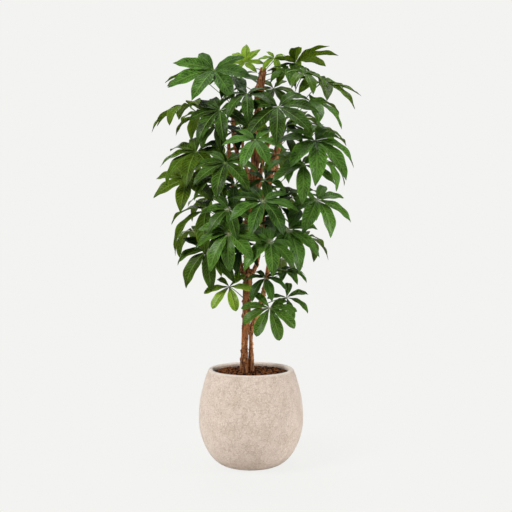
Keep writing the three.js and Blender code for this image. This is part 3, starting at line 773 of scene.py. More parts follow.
def leaf_surface(name, settings, upper_colours, under, rib_colour):
    """The finish of blade, ribs and stalk. The upper colours are a dark, a light and an olive one."""
    dark, light, olive = upper_colours

    def paint(tree):
        place = object_place(tree)
        height = place.axis("Z")
        along = attribute(tree, "along")
        across = attribute(tree, "across")
        tone = attribute(tree, "tone")
        stalk = attribute(tree, "stalk")
        below = attribute(tree, "skin").ramp(0.0, -0.02)
        ripples, ripple_height = blotches(place, 120.0, 0.44, 0.6, detail=4.0)
        patches, _ = blotches(place, 34.0, 0.35, 0.65)
        rib, veins, swelling = leaf_veins(along, across, settings.vein_pairs, ripple_height * 1.6)
        crown = height.ramp(settings.crown_from, settings.crown_from + 0.15)
        dense = height.ramp(settings.dense_from, settings.dense_from + 0.15) * (1 - crown * 0.7)
        off_trunk = (place * (1.0, 1.0, 0.0)).length()
        # Painted shade: near the trunk and above the height where the leaves crowd, less so in the crown,
        # the leaves darken towards the dark leaf colour.
        painted_inner_shade = off_trunk.ramp(settings.open_air, settings.open_air * 0.45) * dense
        upper = layered(
            dark,
            (tone * 0.7 + patches * 0.3, light),
            (attribute(tree, "olive") * 0.8, olive),
            (swelling * (ripples * 0.35 + 0.25), dark),
            (veins * 0.06, rib_colour),
            # Painted sheen: pale broken spots between the veins, in the rib's colour.
            ((1 - swelling) * ripples * settings.painted_sheen, rib_colour),
        )
        lower = layered(under, (tone * 0.5, olive), (veins * 0.4, rib_colour))
        pale_foot = height.ramp(1.1, 0.9)
        hub = mixed(pale_foot, rib_colour, settings.hub)
        shade = layered(
            upper,
            (below, lower),
            (rib * 0.6, rib_colour),
            (painted_inner_shade * 0.98, dark),
            (along.ramp(pale_foot * 0.06 + 0.08, 0.02), hub),
            (stalk.ramp(0.0, 0.1), mixed(stalk.ramp(0.85, 1.0), settings.stalk, hub)),
        )
        relief = swelling * 0.9 + ripple_height * 0.7 - rib * 0.6 + abs(across) * settings.fold
        shine = (1 - painted_inner_shade * 0.9) * (1 - crown * 0.9) * (tone * 0.9 + 0.35)
        return {
            "Base Color": shade,
            "Roughness": patches * -0.1 + settings.roughness,
            "Specular IOR Level": 0.06,
            "Coat Weight": (ripples * 0.5 + 0.5) * shine * settings.gloss,
            "Coat Roughness": 0.4,
            "Subsurface Weight": 0.08,
            "Subsurface Radius": (0.6, 1.0, 0.15),
            "Subsurface Scale": 0.002,
            "Normal": bumped(relief, 0.0022),
        }

    return new_material(name, paint)


# ---- Meshes ----


def spline(points, steps):
    """Points of a smooth line through the given ones. Numbers after the first three follow along."""
    given = np.array(points, float)
    run_in = 2 * given[0] - given[1]
    run_out = 2 * given[-1] - given[-2]
    knots = np.vstack([run_in, given, run_out])
    line = []
    for index in range(len(given) - 1):
        before, start, end, after = knots[index : index + 4]
        stretches = ((before, start), (start, end), (end, after))
        first, middle, last = (max(np.linalg.norm((b - a)[:3]), 1e-6) ** 0.5 for a, b in stretches)
        leave = (start - before) / first - (end - before) / (first + middle) + (end - start) / middle
        arrive = (end - start) / middle - (after - start) / (middle + last) + (after - end) / last
        leave = leave * middle
        arrive = arrive * middle
        for step in range(steps):
            t = step / steps
            line.append(
                start
                + leave * t
                + (3 * (end - start) - 2 * leave - arrive) * t**2
                + (2 * (start - end) + leave + arrive) * t**3
            )
    line.append(given[-1])
    return np.array(line)


def new_piece(name, mesh, node):
    """The finished object of a mesh, put on the body. It stands for a node, whose imported part it hides.
    """
    piece = bpy.data.objects.new(name, mesh)
    bpy.context.scene.collection.objects.link(piece)
    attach(piece, BODY)
    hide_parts(node)
    return piece


def grown(name, mesh, tree, sizes, material):
    """The plain mesh that a tree of geometry nodes makes out of a mesh."""
    values = {**sizes, "Material": material}
    holder = bpy.data.objects.new(name, mesh)
    bpy.context.scene.collection.objects.link(holder)
    modifier = holder.modifiers.new(tree.name, "NODES")
    modifier.node_group = tree
    for item in tree.interface.items_tree:
        if item.in_out == "INPUT" and item.name in values:
            modifier[item.identifier] = values[item.name]
    graph = bpy.context.evaluated_depsgraph_get()
    result = bpy.data.meshes.new_from_object(
        holder.evaluated_get(graph), preserve_all_data_layers=True, depsgraph=graph
    )
    result.name = name
    holder.modifiers.remove(modifier)
    bpy.data.objects.remove(holder)
    bpy.data.meshes.remove(mesh)
    if not result.polygons:
        raise RuntimeError(f"{name} came out empty")
    return result


def set_attribute(mesh, name, kind, values):
    layer = mesh.attributes.new(name, kind, "POINT")
    key = "vector" if kind == "FLOAT_VECTOR" else "value"
    layer.data.foreach_set(key, np.ravel(values))


def drop_attributes(mesh, names):
    for name in names:
        mesh.attributes.remove(mesh.attributes[name])


def sizes_of(settings, *names):
    """Those of the settings, under the labels that they have in a tree of geometry nodes."""
    return {name.replace("_", " ").title(): getattr(settings, name) for name in names}


def geometry_tree(name, sizes, shape):
    """A tree of geometry nodes with named sizes. It ends in a plain mesh with its material."""

    def wire_up(wires):
        real = shape(wires).step("RealizeInstances", {})
        return {"Geometry": real.step("SetMaterial", {"Material": wires["Material"]})}

    mesh = {"Geometry": "NodeSocketGeometry"}
    inputs = {**mesh, **sizes, "Material": "NodeSocketMaterial"}
    return node_group(name, "GeometryNodeTree", inputs, mesh, wire_up)


def position(tree):
    return run(tree, "GeometryNodeInputPosition", {})


def named(tree, name, kind="FLOAT"):
    return run(tree, "GeometryNodeInputNamedAttribute", {"Name": name}, data_type=kind)


def stored(geometry, name, value):
    inputs = {"Name": name, "Value": value}
    return geometry.step("StoreNamedAttribute", inputs, data_type="FLOAT", domain="POINT")


def swept(lines, sides):
    """Capped tubes along the edges of a mesh, as thick as its girth says."""
    tree = lines.tree
    curve = run(tree, "GeometryNodeMeshToCurve", {"Mesh": lines})
    ring = run(tree, "GeometryNodeCurvePrimitiveCircle", {"Resolution": sides, "Radius": 1.0})
    inputs = {"Curve": curve, "Profile Curve": ring, "Scale": named(tree, "girth"), "Fill Caps": True}
    return run(tree, "GeometryNodeCurveToMesh", inputs)


def joined(first, second):
    tree = first.tree
    join = tree.nodes.new("GeometryNodeJoinGeometry")
    plug(tree, first, join.inputs["Geometry"])
    plug(tree, second, join.inputs["Geometry"])
    return Wire(tree, join.outputs["Geometry"])


def curve_value(value, points):
    """A value read off a smooth curve through the given points."""
    node = value.tree.nodes.new("ShaderNodeFloatCurve")
    curve = node.mapping.curves[0]
    curve.points[0].location = points[0]
    curve.points[1].location = points[-1]
    for x, y in points[1:-1]:
        curve.points.new(x, y)
    node.mapping.update()
    plug(value.tree, value, node.inputs["Value"])
    return Wire(value.tree, node.outputs["Value"])


def lathed(name, profile, sides):
    """A closed turned mesh. The profile is (radius, height) rows that start and end on the axis."""
    inner = profile[1:-1]
    angles = np.linspace(0, 2 * np.pi, sides, endpoint=False)
    rings = [
        np.column_stack([radius * np.cos(angles), radius * np.sin(angles), np.full(sides, height)])
        for radius, height in inner
    ]
    poles = np.array([(0, 0, profile[0][1]), (0, 0, profile[-1][1])])
    corners = np.vstack([*rings, poles]) * MM
    first_pole = len(inner) * sides
    last_pole = first_pole + 1
    last_ring = (len(inner) - 1) * sides
    faces = []
    for side in range(sides):
        beside = (side + 1) % sides
        faces.append((first_pole, beside, side))
        faces.append((last_pole, last_ring + side, last_ring + beside))
        for ring in range(len(inner) - 1):
            here = ring * sides
            above = here + sides
            faces.append((here + side, here + beside, above + beside, above + side))
    mesh = bpy.data.meshes.new(name)
    mesh.from_pydata(corners.tolist(), [], faces)
    mesh.shade_smooth()
    return mesh


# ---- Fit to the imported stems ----


def scatter(first, second):
    """A value from 0 to 1 that is always the same for the same two numbers."""
    wave = math.sin(first * 12.9898 + second * 78.233) * 43758.5453
    return wave - math.floor(wave)


def leaf_axes(compass, tilt):
    """Axes of a leaf: the way its middle leaflet points, across that, and out of its upper side."""
    around = math.radians(compass)
    over = math.radians(tilt)
    level = np.array((math.cos(around), math.sin(around), 0.0))
    out = level * math.cos(over) - UP * math.sin(over)
    face = level * math.sin(over) + UP * math.cos(over)
    return out, np.cross(face, out), face


def leaflet_plan(leaf, seed):
    """Angle, length and bend of each leaflet, and how much its own weight says which way it bends."""
    length, count, bend = leaf[3], leaf[4], leaf[7]
    plan = []
    for index in range(count):
        place = index / (count - 1) - 0.5
        backness = abs(place) * 2
        stray = (scatter(seed, index + STRAY_DRAW) - 0.5) * LEAFLET_STRAY
        strength = LEAST_LENGTH + LENGTH_SCATTER * scatter(seed, index + LENGTH_DRAW)
        shortening = (1 - SHORTER_AT_THE_BACK * backness**2) * strength
        extra_bend = LEAST_BEND + BEND_SCATTER * (scatter(seed, index + BEND_DRAW) - MIDDLE_BEND)
        plan.append(
            {
                "angle": math.radians(place * LEAFLET_FAN + stray),
                "length": length * shortening,
                "bend": math.radians(bend + extra_bend),
                "hang": bend / FULL_HANG_BEND,
            }
        )
    return plan


def leaf_heading(axes, angle):
    out, across, _ = axes
    return out * math.cos(angle) + across * math.sin(angle)


def leaflet_crown(axes, leaflet, heading):
    """What the upper side of a leaflet looks at where it leaves the hub."""
    upright = UP - heading * heading[2]
    crown = axes[2] * (1 - leaflet["hang"]) + upright * leaflet["hang"]
    return crown / np.linalg.norm(crown)


def leaflet_tip(axes, leaflet, turn):
    """Where a leaflet ends, from its hub."""
    rise = math.radians(LEAFLET_RISE)
    sweep = rise + leaflet["bend"]
    slope = rise - sweep
    forward = (math.sin(rise) - math.sin(slope)) / sweep
    lift = (math.cos(slope) - math.cos(rise)) / sweep
    heading = leaf_heading(axes, leaflet["angle"] + turn)
    crown = leaflet_crown(axes, leaflet, heading)
    return (heading * forward + crown * lift) * leaflet["length"]


def search_tree(points):
    tree = KDTree(len(points))
    for index, point in enumerate(points):
        tree.insert(point, index)
    tree.balance()
    return tree


def stem_move(leaf, seed, packed):
    """The turn, lean, depth and drop that a packed stem took, read from where its leaflets end."""
    x, y, z, _, _, compass, tilt, _, turn = leaf
    plan = leaflet_plan(leaf, seed)
    best = (math.inf, None)
    for extra_turn in TURNS:
        for lean in LEANS:
            axes = leaf_axes(compass, tilt + lean)
            angle = math.radians(turn + extra_turn)
            tips = [leaflet_tip(axes, leaflet, angle) for leaflet in plan]
            for depth in DEPTHS:
                for drop in DROPS:
                    hub = np.array((x, y + depth, z + drop))
                    misses = sorted(packed.find(hub + tip)[2] for tip in tips)
                    miss = misses[len(misses) // 2]
                    best = min(best, (miss, (extra_turn, lean, depth, drop)))
    if best[0] > FIT_LIMIT:
        raise RuntimeError(f"the leaf at {leaf[:3]} is {best[0]:.2f} mm off its packed place")
    return best[1]


def stalk_bend(root, hub, axes):
    """The four points that a stalk bends by, from the wood to under the hub."""
    out, _, face = axes
    reach = np.linalg.norm(hub - root)
    away = root + (hub - root) * STALK_FORWARD + UP * STALK_LIFT * reach
    below = hub - face * STALK_BELOW_HUB * reach - out * STALK_BEHIND_HUB * reach
    return np.array([root, away, below, hub - face * HUB_DEPTH])


def bend_point(bend, t):
    weights = np.array([(1 - t) ** 3, 3 * t * (1 - t) ** 2, 3 * t**2 * (1 - t), t**3])
    return weights @ bend


def bud_points(limbs):
    """Points along every limb where a stem could grow, each with the limb's radius there."""
    buds = []
    for limb in limbs:
        for start, end in zip(limb, limb[1:]):
            for step in range(BUDS_A_STRETCH):
                share = step / BUDS_A_STRETCH
                buds.append(np.array(start) * (1 - share) + np.array(end) * share)
    return [bud for bud in buds if bud[2] > LOWEST_BUD]


def stem_root(leaf, move, buds, packed):
    """Where a packed stem leaves the wood, read from the rings of its stalk."""
    first_hub = np.array(leaf[:3], float)
    wanted = first_hub - UP * (ROOT_FALL * math.hypot(leaf[0], leaf[1]) + ROOT_DROP)
    ranked = sorted(buds, key=lambda bud: np.linalg.norm(bud[:3] - wanted))
    _, lean, depth, drop = move
    axes = leaf_axes(leaf[5], leaf[6] + lean)
    hub = first_hub + np.array((0, depth, drop))
    best = (math.inf, None)
    for rank in ROOT_RANKS:
        bud = ranked[rank]
        outward = first_hub - bud[:3]
        root = bud[:3] + outward / np.linalg.norm(outward) * ROOT_SINK * bud[3]
        bend = stalk_bend(root, hub, axes)
        line = np.array([bend_point(bend, t) for t in np.linspace(0, 1, STALK_TEST_POINTS)])
        reach = np.append(0, np.cumsum(np.linalg.norm(np.diff(line, axis=0), axis=1)))
        miss = 0
        for share in STALK_SAMPLES:
            centre = [np.interp(share * reach[-1], reach, line[:, axis]) for axis in range(3)]
            radius = STALK_RADII[0] + (STALK_RADII[1] - STALK_RADII[0]) * share
            miss += abs(packed.find(centre)[2] - radius) / len(STALK_SAMPLES)
        best = min(best, (miss, rank, root), key=lambda found: found[0])
    if best[0] > FIT_LIMIT:
        raise RuntimeError(f"the stalk to {leaf[:3]} is {best[0]:.2f} mm off its packed place")
    return best[2]


# ---- Leafy stems ----

# The stalk's girth on the way from the wood to the hub, as (share of the way, radius).
STALK_GIRTH = [(0, 2.7), (0.12, 1.7), (0.5, 1.35), (0.88, 1.5), (0.97, 2.1), (1, 2.7)]

# The hub's own rings above the stalk's end, as (height over the hub, radius).
HUB_RINGS = [(-2.2, 3.3), (-0.4, 3.5), (0.9, 2.6), (1.5, 1.0)]

STALK_POINTS = 15
SIDE_STALK_SLIMNESS = 0.8

LEAFLET_SHAPE = ("leaflet", "girth", "reach", "sweep", "breadth", "fold", "phase", "blunt")
LEAFLET_VECTORS = ("hub", "heading", "side", "face")
LEAFLET_COLOURING = ("stalk", "tone", "olive")


class Skeleton:
    """The lines of a stem's stalks and a point for each leaflet, with all that the leaflets grow by."""

    def __init__(self):
        self.points = []
        self.edges = []
        self.rows = []

    def add_point(self, place, **row):
        self.points.append(place)
        self.rows.append(row)

    def add_line(self, places, girths, stalk):
        first = len(self.points)
        for place, girth, share in zip(places, girths, stalk):
            self.add_point(place, girth=girth, stalk=share)
        self.edges += [(index, index + 1) for index in range(first, first + len(places) - 1)]

    def mesh(self, name):
        mesh = bpy.data.meshes.new(name)
        mesh.from_pydata((np.array(self.points) * MM).tolist(), self.edges, [])
        for label in LEAFLET_SHAPE + LEAFLET_COLOURING:
            set_attribute(mesh, label, "FLOAT", [row.get(label, 0.0) for row in self.rows])
        for label in LEAFLET_VECTORS:
            vectors = [row.get(label, (0.0, 0.0, 0.0)) for row in self.rows]
            set_attribute(mesh, label, "FLOAT_VECTOR", vectors)
        return mesh


def add_stalk(skeleton, bend, hub, face, slimness):
    shares = np.linspace(0, 1, STALK_POINTS)
    places = [bend_point(bend, share) for share in shares]
    girths = list(np.interp(shares, *zip(*STALK_GIRTH)) * slimness)
    colouring = list(0.2 + 0.8 * shares**3)
    for height, radius in HUB_RINGS:
        places.append(hub + face * height)
        girths.append(radius)
        colouring.append(1.0)
    skeleton.add_line(places, np.array(girths) * MM, colouring)


def leaf_colouring(hub, seed):
    """How pale and how olive a leaf is, with painted light and shade by where it stands. The crown is more
    olive on the right, the rest on the left.
    """
    low = hub[2] < BLUNT_LEAF_HEIGHT
    # The tone takes painted light in the crown, on the right and on the lowest leaves, and painted shade
    # in the tier under the crown.
    if hub[2] > CROWN_HEIGHT:
        paler = PAINTED_LIGHT_IN_THE_CROWN
        aside = hub[0]
    else:
        paler = PAINTED_LIGHT_ON_THE_RIGHT * hub[0] / OLIVE_REACH
        paler -= DARKER_IN_SHADE * (hub[2] > SHADED_HEIGHT and hub[0] < SHADED_SIDE)
        aside = -hub[0]
    tone = max(scatter(seed, TONE_DRAW) + paler, PAINTED_LIGHT_ON_LOW_LEAVES * low)
    reach = min(1.0, max(aside, -OTHER_SIDE_OLIVE * aside) / OLIVE_REACH)
    at_back = hub[1] > BACK_LEAF_DEPTH
    olive = max(MOST_OLIVE * reach**2, MOST_OLIVE * at_back, LOW_LEAF_OLIVE * low)
    return tone, min(1.0, olive + OLIVE_SCATTER * scatter(seed, OLIVE_DRAW))


def add_leaflets(skeleton, leaf, hub, axes, turn, seed):
    blunt = 1.0 if hub[2] < BLUNT_LEAF_HEIGHT else 0.0
    leaf_tone, olive = leaf_colouring(hub, seed)
    for index, leaflet in enumerate(leaflet_plan(leaf, seed)):
        heading = leaf_heading(axes, leaflet["angle"] + turn)
        crown = leaflet_crown(axes, leaflet, heading)
        tone = leaf_tone + TONE_SCATTER * (scatter(seed, index + LEAFLET_TONE_DRAW) - 0.5)
        width = LEAST_WIDTH + WIDTH_SCATTER * scatter(seed, index + WIDTH_DRAW)
        fold = LEAST_FOLD + FOLD_SCATTER * scatter(seed, index + FOLD_DRAW)
        skeleton.add_point(
            hub,
            leaflet=1.0,
            hub=hub * MM,
            heading=heading,
            side=np.cross(crown, heading),
            face=crown,
            reach=leaflet["length"] * MM,
            sweep=math.radians(LEAFLET_RISE) + leaflet["bend"],
            breadth=LEAFLET_WIDTH * width,
            fold=math.radians(LEAFLET_FOLD * fold),
            phase=WAVE_SCATTER * scatter(seed, index + WAVE_DRAW),
            blunt=max(blunt, CHANCE_BLUNTNESS * scatter(seed, index + BLUNT_DRAW)),
            tone=min(PALEST_TONE, max(0.0, tone)),
            olive=olive,
        )


def stem_skeleton(name, leaves, seed, buds):
    corners = np.array([corner.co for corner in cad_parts[name].data.vertices]) / MM
    packed = search_tree(corners)
    move = stem_move(leaves[0], seed, packed)
    root = stem_root(leaves[0], move, buds, packed)
    extra_turn, lean, depth, drop = move
    skeleton = Skeleton()
    slimness = 1.0
    for index, leaf in enumerate(leaves):
        x, y, z, _, _, compass, tilt, _, turn = leaf
        hub = np.array((x, y + depth, z + drop), float)
        axes = leaf_axes(compass, tilt + lean)
        leaf_seed = seed + LEAF_SEED_STEP * index
        bend = stalk_bend(root, hub, axes)
        add_stalk(skeleton, bend, hub, axes[2], slimness)
        add_leaflets(skeleton, leaf, hub, axes, math.radians(turn + extra_turn), leaf_seed)
        if index == 0:
            root = bend_point(bend, SIDE_STALK_SHARE)
            slimness = SIDE_STALK_SLIMNESS
    return skeleton.mesh(name)


def leafy_stem(wires):
    """Sweeps a stem's stalks along their lines and grows a bent, folded, wavy leaflet at each point."""
    tree = wires["Geometry"].tree
    hubs = wires["Geometry"].step("SeparateGeometry", {"Selection": named(tree, "leaflet")})
    lines = Wire(tree, hubs.socket.node.outputs["Inverted"])
    stalks = swept(lines, wires["Stalk Sides"]).step("SetShadeSmooth", {})

    facets = {"Vertices X": wires["Steps Along"] + 1, "Vertices Y": wires["Steps Round"] + 1}
    sheet = run(tree, "GeometryNodeMeshGrid", {"Size X": 1.0, "Size Y": 1.0, **facets})
    spot = position(tree)
    turn = (spot.axis("Y") + 0.5) * math.tau
    sheet = stored(sheet, "along", spot.axis("X") + 0.5)
    sheet = stored(sheet, "across", turn.maths("COSINE"))
    sheet = stored(sheet, "skin", turn.maths("SINE"))
    blades = run(tree, "GeometryNodeInstanceOnPoints", {"Points": hubs, "Instance": sheet})
    blades = blades.step("RealizeInstances", {})

    along, across, skin = (named(tree, name) for name in ("along", "across", "skin"))
    reach, sweep, phase, fold = (named(tree, name) for name in ("reach", "sweep", "phase", "fold"))
    breadth, blunt = (named(tree, name) for name in ("breadth", "blunt"))
    hub, heading, side, face = (named(tree, name, "FLOAT_VECTOR") for name in LEAFLET_VECTORS)
    aside = abs(across)

    rise = math.radians(LEAFLET_RISE)
    slope = -(along * sweep) + rise
    forward = (math.sin(rise) - slope.maths("SINE")) * reach / sweep
    lift = (slope.maths("COSINE") - math.cos(rise)) * reach / sweep
    normal = face * slope.maths("COSINE") - heading * slope.maths("SINE")
    station = along.maths("POWER", blunt * BLUNTNESS + 1.0)
    outline = curve_value(station, LEAFLET_OUTLINE) * 2.0
    outline = outline.maths("POWER", blunt * -ROUNDNESS + 1.0)
    half = outline * breadth * reach * 0.5
    sideways = across * half * fold.maths("COSINE")
    folded = aside * half * fold.maths("SINE") * ((1.0 + FOLD_CURVE) - aside * FOLD_CURVE)
    ripple = (along * WAVES_ALONG + phase + across * WAVE_SLANT).maths("SINE") * aside * aside
    waves = ripple * reach * wires["Wave"] * along.ramp(0.0, 0.3) * along.ramp(1.0, 0.85)
    ends = along.ramp(0.0, 0.08) * along.ramp(1.0, 0.93)
    body = skin * wires["Thickness"] * 0.5 * ends
    keel = skin.ramp(0.0, -0.4) * aside.ramp(0.5, 0.0) * wires["Rib Depth"] * (1.0 - along) * ends
    upward = folded + waves + body - keel
    place = hub + heading * forward + face * lift + side * sideways + normal * upward
    blades = blades.step("SetPosition", {"Position": place})
    blades = blades.step("MergeByDistance", {"Distance": 0.00001})
    blades = blades.step("SetShadeSmooth", {})
    sharp_rim = {"Selection": aside.maths("GREATER_THAN", 0.999), "Shade Smooth": False}
    blades = blades.step("SetShadeSmooth", sharp_rim, domain="EDGE")
    return joined(stalks, blades)


def grow_stems(stems, prefix, first_seed, material, settings):
    buds = bud_points([*MAIN_LIMBS, *SIDE_LIMBS])
    names = ("steps_along", "steps_round", "thickness", "rib_depth", "wave", "stalk_sides")
    sizes = sizes_of(settings, *names)
    tree = geometry_tree("Leafy stem", sizes, leafy_stem)
    for index, leaves in enumerate(stems):
        node = f"{prefix}_{index + 1:02d}"
        skeleton = stem_skeleton(node, leaves, first_seed + index, buds)
        mesh = grown(f"leaves_{node}", skeleton, tree, sizes, material)
        drop_attributes(mesh, LEAFLET_SHAPE + LEAFLET_VECTORS)
        new_piece(f"leaves_{node}", mesh, node)


# ---- Wood ----


def bark_limbs(wires):
    """Sweeps the limbs along their lines, melts them together and roughens them into bark."""
    tree = wires["Geometry"].tree
    limbs = swept(wires["Geometry"], LIMB_SIDES)
    grid = run(tree, "GeometryNodeMeshToSDFGrid", {"Mesh": limbs, "Voxel Size": wires["Fineness"]})
    skin = run(tree, "GeometryNodeGridToMesh", {"Grid": grid, "Threshold": 0.0})
    place = position(tree)
    blur = {"Value": place, "Iterations": BARK_BLUR_STEPS}
    eased = run(tree, "GeometryNodeBlurAttribute", blur, data_type="FLOAT_VECTOR")
    skin = skin.step("SetPosition", {"Position": eased})
    furrows = noise(place * FURROW_STRETCH, FURROW_SCALE, 2.0)
    lumps = noise(place, 78.0, 1.0)
    swell = noise(place, 22.0, 1.0)
    depth = (furrows - 0.5) * 2.0 * wires["Relief"] + (swell - 0.5) * wires["Relief"] * 2.0
    depth = depth + lumps.ramp(0.58, 0.72) * wires["Knobs"]
    normal = run(tree, "GeometryNodeInputNormal", {})
    skin = skin.step("SetPosition", {"Offset": normal * depth})
    return skin.step("SetShadeSmooth", {})


def limb_lines(name, limbs, settings):
    skeleton = Skeleton()
    for limb in limbs:
        line = spline(limb, LIMB_STEPS)
        off_gap = (line[:, 2] * MM - settings.gap_height) / (GAP_SPREAD * MM)
        slimness = 1 - settings.gap * np.exp(-(off_gap**2))
        skeleton.add_line(line[:, :3], line[:, 3] * slimness * MM, np.zeros(len(line)))
    return skeleton.mesh(name)


# ---- Soil ----


def drawn(seed, low, high):
    """A vector for each point, drawn between two others."""
    inputs = {0: low, 1: high, "Seed": seed}
    return run(seed.tree, "FunctionNodeRandomValue", inputs, data_type="FLOAT_VECTOR")


def strewn_crumbs(wires):
    """Strews crumbs of many sizes over the top of the soil."""
    tree = wires["Geometry"].tree
    seed = wires["Seed"]
    place = position(tree)
    on_top = place.axis("Z").maths("GREATER_THAN", wires["Top"])
    rough = noise(place, 60.0, 3.0)
    up = run(tree, "ShaderNodeCombineXYZ", {"Z": (rough - 0.5) * wires["Relief"] * 2.0})
    ground = wires["Geometry"].step("SetPosition", {"Selection": on_top, "Offset": up})
    ground = ground.step("SetShadeSmooth", {})
    strewing = {"Mesh": ground, "Selection": on_top, "Density": wires["Crumbs"], "Seed": seed}
    spots = run(tree, "GeometryNodeDistributePointsOnFaces", strewing, output="Points")
    tone = run(tree, "FunctionNodeRandomValue", {"Seed": seed + 1}, output=1, data_type="FLOAT")
    spots = stored(spots, "tone", tone)
    crumb = run(tree, "GeometryNodeMeshIcoSphere", {"Radius": 1.0, "Subdivisions": 2}, output="Mesh")
    size = drawn(seed + 2, SMALLEST_CRUMB, LARGEST_CRUMB) * wires["Crumb Size"]
    turn = drawn(seed + 3, (0.0, 0.0, 0.0), (CRUMB_TILT, CRUMB_TILT, math.tau))
    spun = run(tree, "FunctionNodeEulerToRotation", {"Euler": turn})
    inputs = {"Points": spots, "Instance": crumb, "Rotation": spun, "Scale": size}
    crumbs = run(tree, "GeometryNodeInstanceOnPoints", inputs).step("RealizeInstances", {})
    dents = noise(place, 260.0, 2.0, output="Color")
    jolt = (dents - (0.5, 0.5, 0.5)) * (wires["Crumb Size"] * CRUMB_DENTS)
    crumbs = crumbs.step("SetPosition", {"Offset": jolt})
    return joined(ground, crumbs)


def soil_profile():
    """The soil's outline from the pot's floor up its wall and over its domed top."""
    wall = [(radius - SOIL_GAP, height) for radius, height in reversed(POT_INSIDE)]
    wall[0] = (wall[0][0], wall[0][1] + SOIL_GAP)
    edge, height = SOIL_EDGE
    shares = np.linspace(*SOIL_TOP_SHARES, SOIL_TOP_RINGS)
    top = [(edge * share, height + SOIL_DOME * (1 - share**2)) for share in shares]
    return [(0, wall[0][1]), *spline(wall, SOIL_WALL_STEPS), *top, (0, height + SOIL_DOME)]


# ---- Pieces ----


class MONEYTREE_OT_pot(bpy.types.Operator):
    """Turn the round-bellied stone pot"""

    bl_idname = "moneytree.pot"
    bl_label = "Turn Pot"

    def execute(self, context):
        settings = context.scene.money_tree.pot
        wall = spline([*POT_OUTSIDE, *POT_LIP, *POT_INSIDE], POT_STEPS)
        profile = [(0, 0), (POT_FLAT_RADIUS, 0), *wall, (0, POT_INSIDE[-1][1])]
        mesh = lathed("stone_pot", profile, settings.sides)
        mesh.materials.append(pot_stone(settings))
        new_piece("stone_pot", mesh, "pot")
        return {"FINISHED"}


class MONEYTREE_OT_soil(bpy.types.Operator):
    """Fill the pot with crumbly soil"""

    bl_idname = "moneytree.soil"
    bl_label = "Fill Soil"

    def execute(self, context):
        settings = context.scene.money_tree.soil
        sizes = sizes_of(settings, "relief", "crumbs", "crumb_size", "seed")
        sizes["Top"] = (SOIL_EDGE[1] + SOIL_TOP_MARGIN) * MM
        tree = geometry_tree("Crumbs", sizes, strewn_crumbs)
        ground = lathed("crumbly_soil", soil_profile(), SOIL_SIDES)
        mesh = grown("crumbly_soil", ground, tree, sizes, soil_crumbs(settings))
        new_piece("crumbly_soil", mesh, "soil")
        return {"FINISHED"}


class MONEYTREE_OT_trunks(bpy.types.Operator):
    """Grow the two trunks with their limbs and bark"""

    bl_idname = "moneytree.trunks"
    bl_label = "Grow Trunks"

    def execute(self, context):
        settings = context.scene.money_tree.bark
        sizes = sizes_of(settings, "fineness", "relief", "knobs")
        tree = geometry_tree("Limbs", sizes, bark_limbs)
        # The side trunk's paler low colour is painted light.
        for name, limbs, node, low in (
            ("main_trunk_bark", MAIN_LIMBS, "main_trunk", settings.low),
            ("side_trunk_bark", SIDE_LIMBS, "side_trunk", settings.side_low_painted_light),
        ):
            material = fibrous_bark(name, settings, low)
            mesh = grown(name, limb_lines(name, limbs, settings), tree, sizes, material)
            new_piece(name, mesh, node)
        return {"FINISHED"}


class MONEYTREE_OT_leaves(bpy.types.Operator):
    """Grow the stems with their grown, dark green leaves"""

    bl_idname = "moneytree.leaves"
    bl_label = "Grow Leaves"

    def execute(self, context):
        settings = context.scene.money_tree.leaf
        upper = (settings.dark, settings.light, settings.olive)
        material = leaf_surface("leaf_green", settings, upper, settings.under, settings.rib)
        grow_stems(LEAFY_STEMS, "leafy_stem", LEAFY_SEED, material, settings)
        return {"FINISHED"}


class MONEYTREE_OT_young_leaves(bpy.types.Operator):
    """Grow the stems with young, bright leaves"""

    bl_idname = "moneytree.young_leaves"
    bl_label = "Grow Young Leaves"

    def execute(self, context):
        settings = context.scene.money_tree.leaf
        upper = (settings.young_shade, settings.young, settings.young)
        material = leaf_surface("leaf_young", settings, upper, settings.young_under, settings.young_rib)
        grow_stems(YOUNG_STEMS, "young_stem", YOUNG_SEED, material, settings)
        return {"FINISHED"}


# ---- Studio ----

FLOOR_RADIUS = 12.0
FLOOR_SIDES = 96
SENSOR_WIDTH = 36

# Each light's place, the height that it aims at, and its size, in metres. Its power is a setting.
LIGHTS = {
    "key": ((-2.1, -1.7, 2.3), 0.8, 1.0),
    "fill": ((2.6, -0.9, 0.9), 0.6, 1.2),
    "top": ((0.2, 0.5, 3.2), 0.9, 1.8),
    "back": ((-0.8, 2.4, 1.9), 0.9, 1.6),
}


def pale_floor(settings):
    """Plain pale floor that turns into the backdrop's own shade away from the pot."""

    def shader(tree):
        matt = run(tree, "ShaderNodeBsdfDiffuse", {"Color": settings.pale})
        glow = run(tree, "ShaderNodeEmission", {"Color": settings.pale})
        seen = run(tree, "ShaderNodeLightPath", {}, output="Is Camera Ray")
        share = (object_place(tree).length().ramp(0.2, 0.7) * 0.08 + 0.92) * seen
        return run(tree, "ShaderNodeMixShader", {0: share, 1: matt, 2: glow})

    return surfaced(bpy.data.materials.new("pale_floor"), "ShaderNodeOutputMaterial", shader)


def pale_sky(settings):
    """Even light all round, seen by the camera as the backdrop's own shade."""

    def shader(tree):
        seen = run(tree, "ShaderNodeLightPath", {}, output="Is Camera Ray")
        strength = seen * (1 - settings.sky) + settings.sky
        return run(tree, "ShaderNodeBackground", {"Color": settings.pale, "Strength": strength})

    return surfaced(bpy.data.worlds.new("pale_sky"), "ShaderNodeOutputWorld", shader)


def placed(name, data):
    """A new object in the scene, for a mesh, a light or a camera."""
    thing = bpy.data.objects.new(name, data)
    bpy.context.scene.collection.objects.link(thing)
    return thing


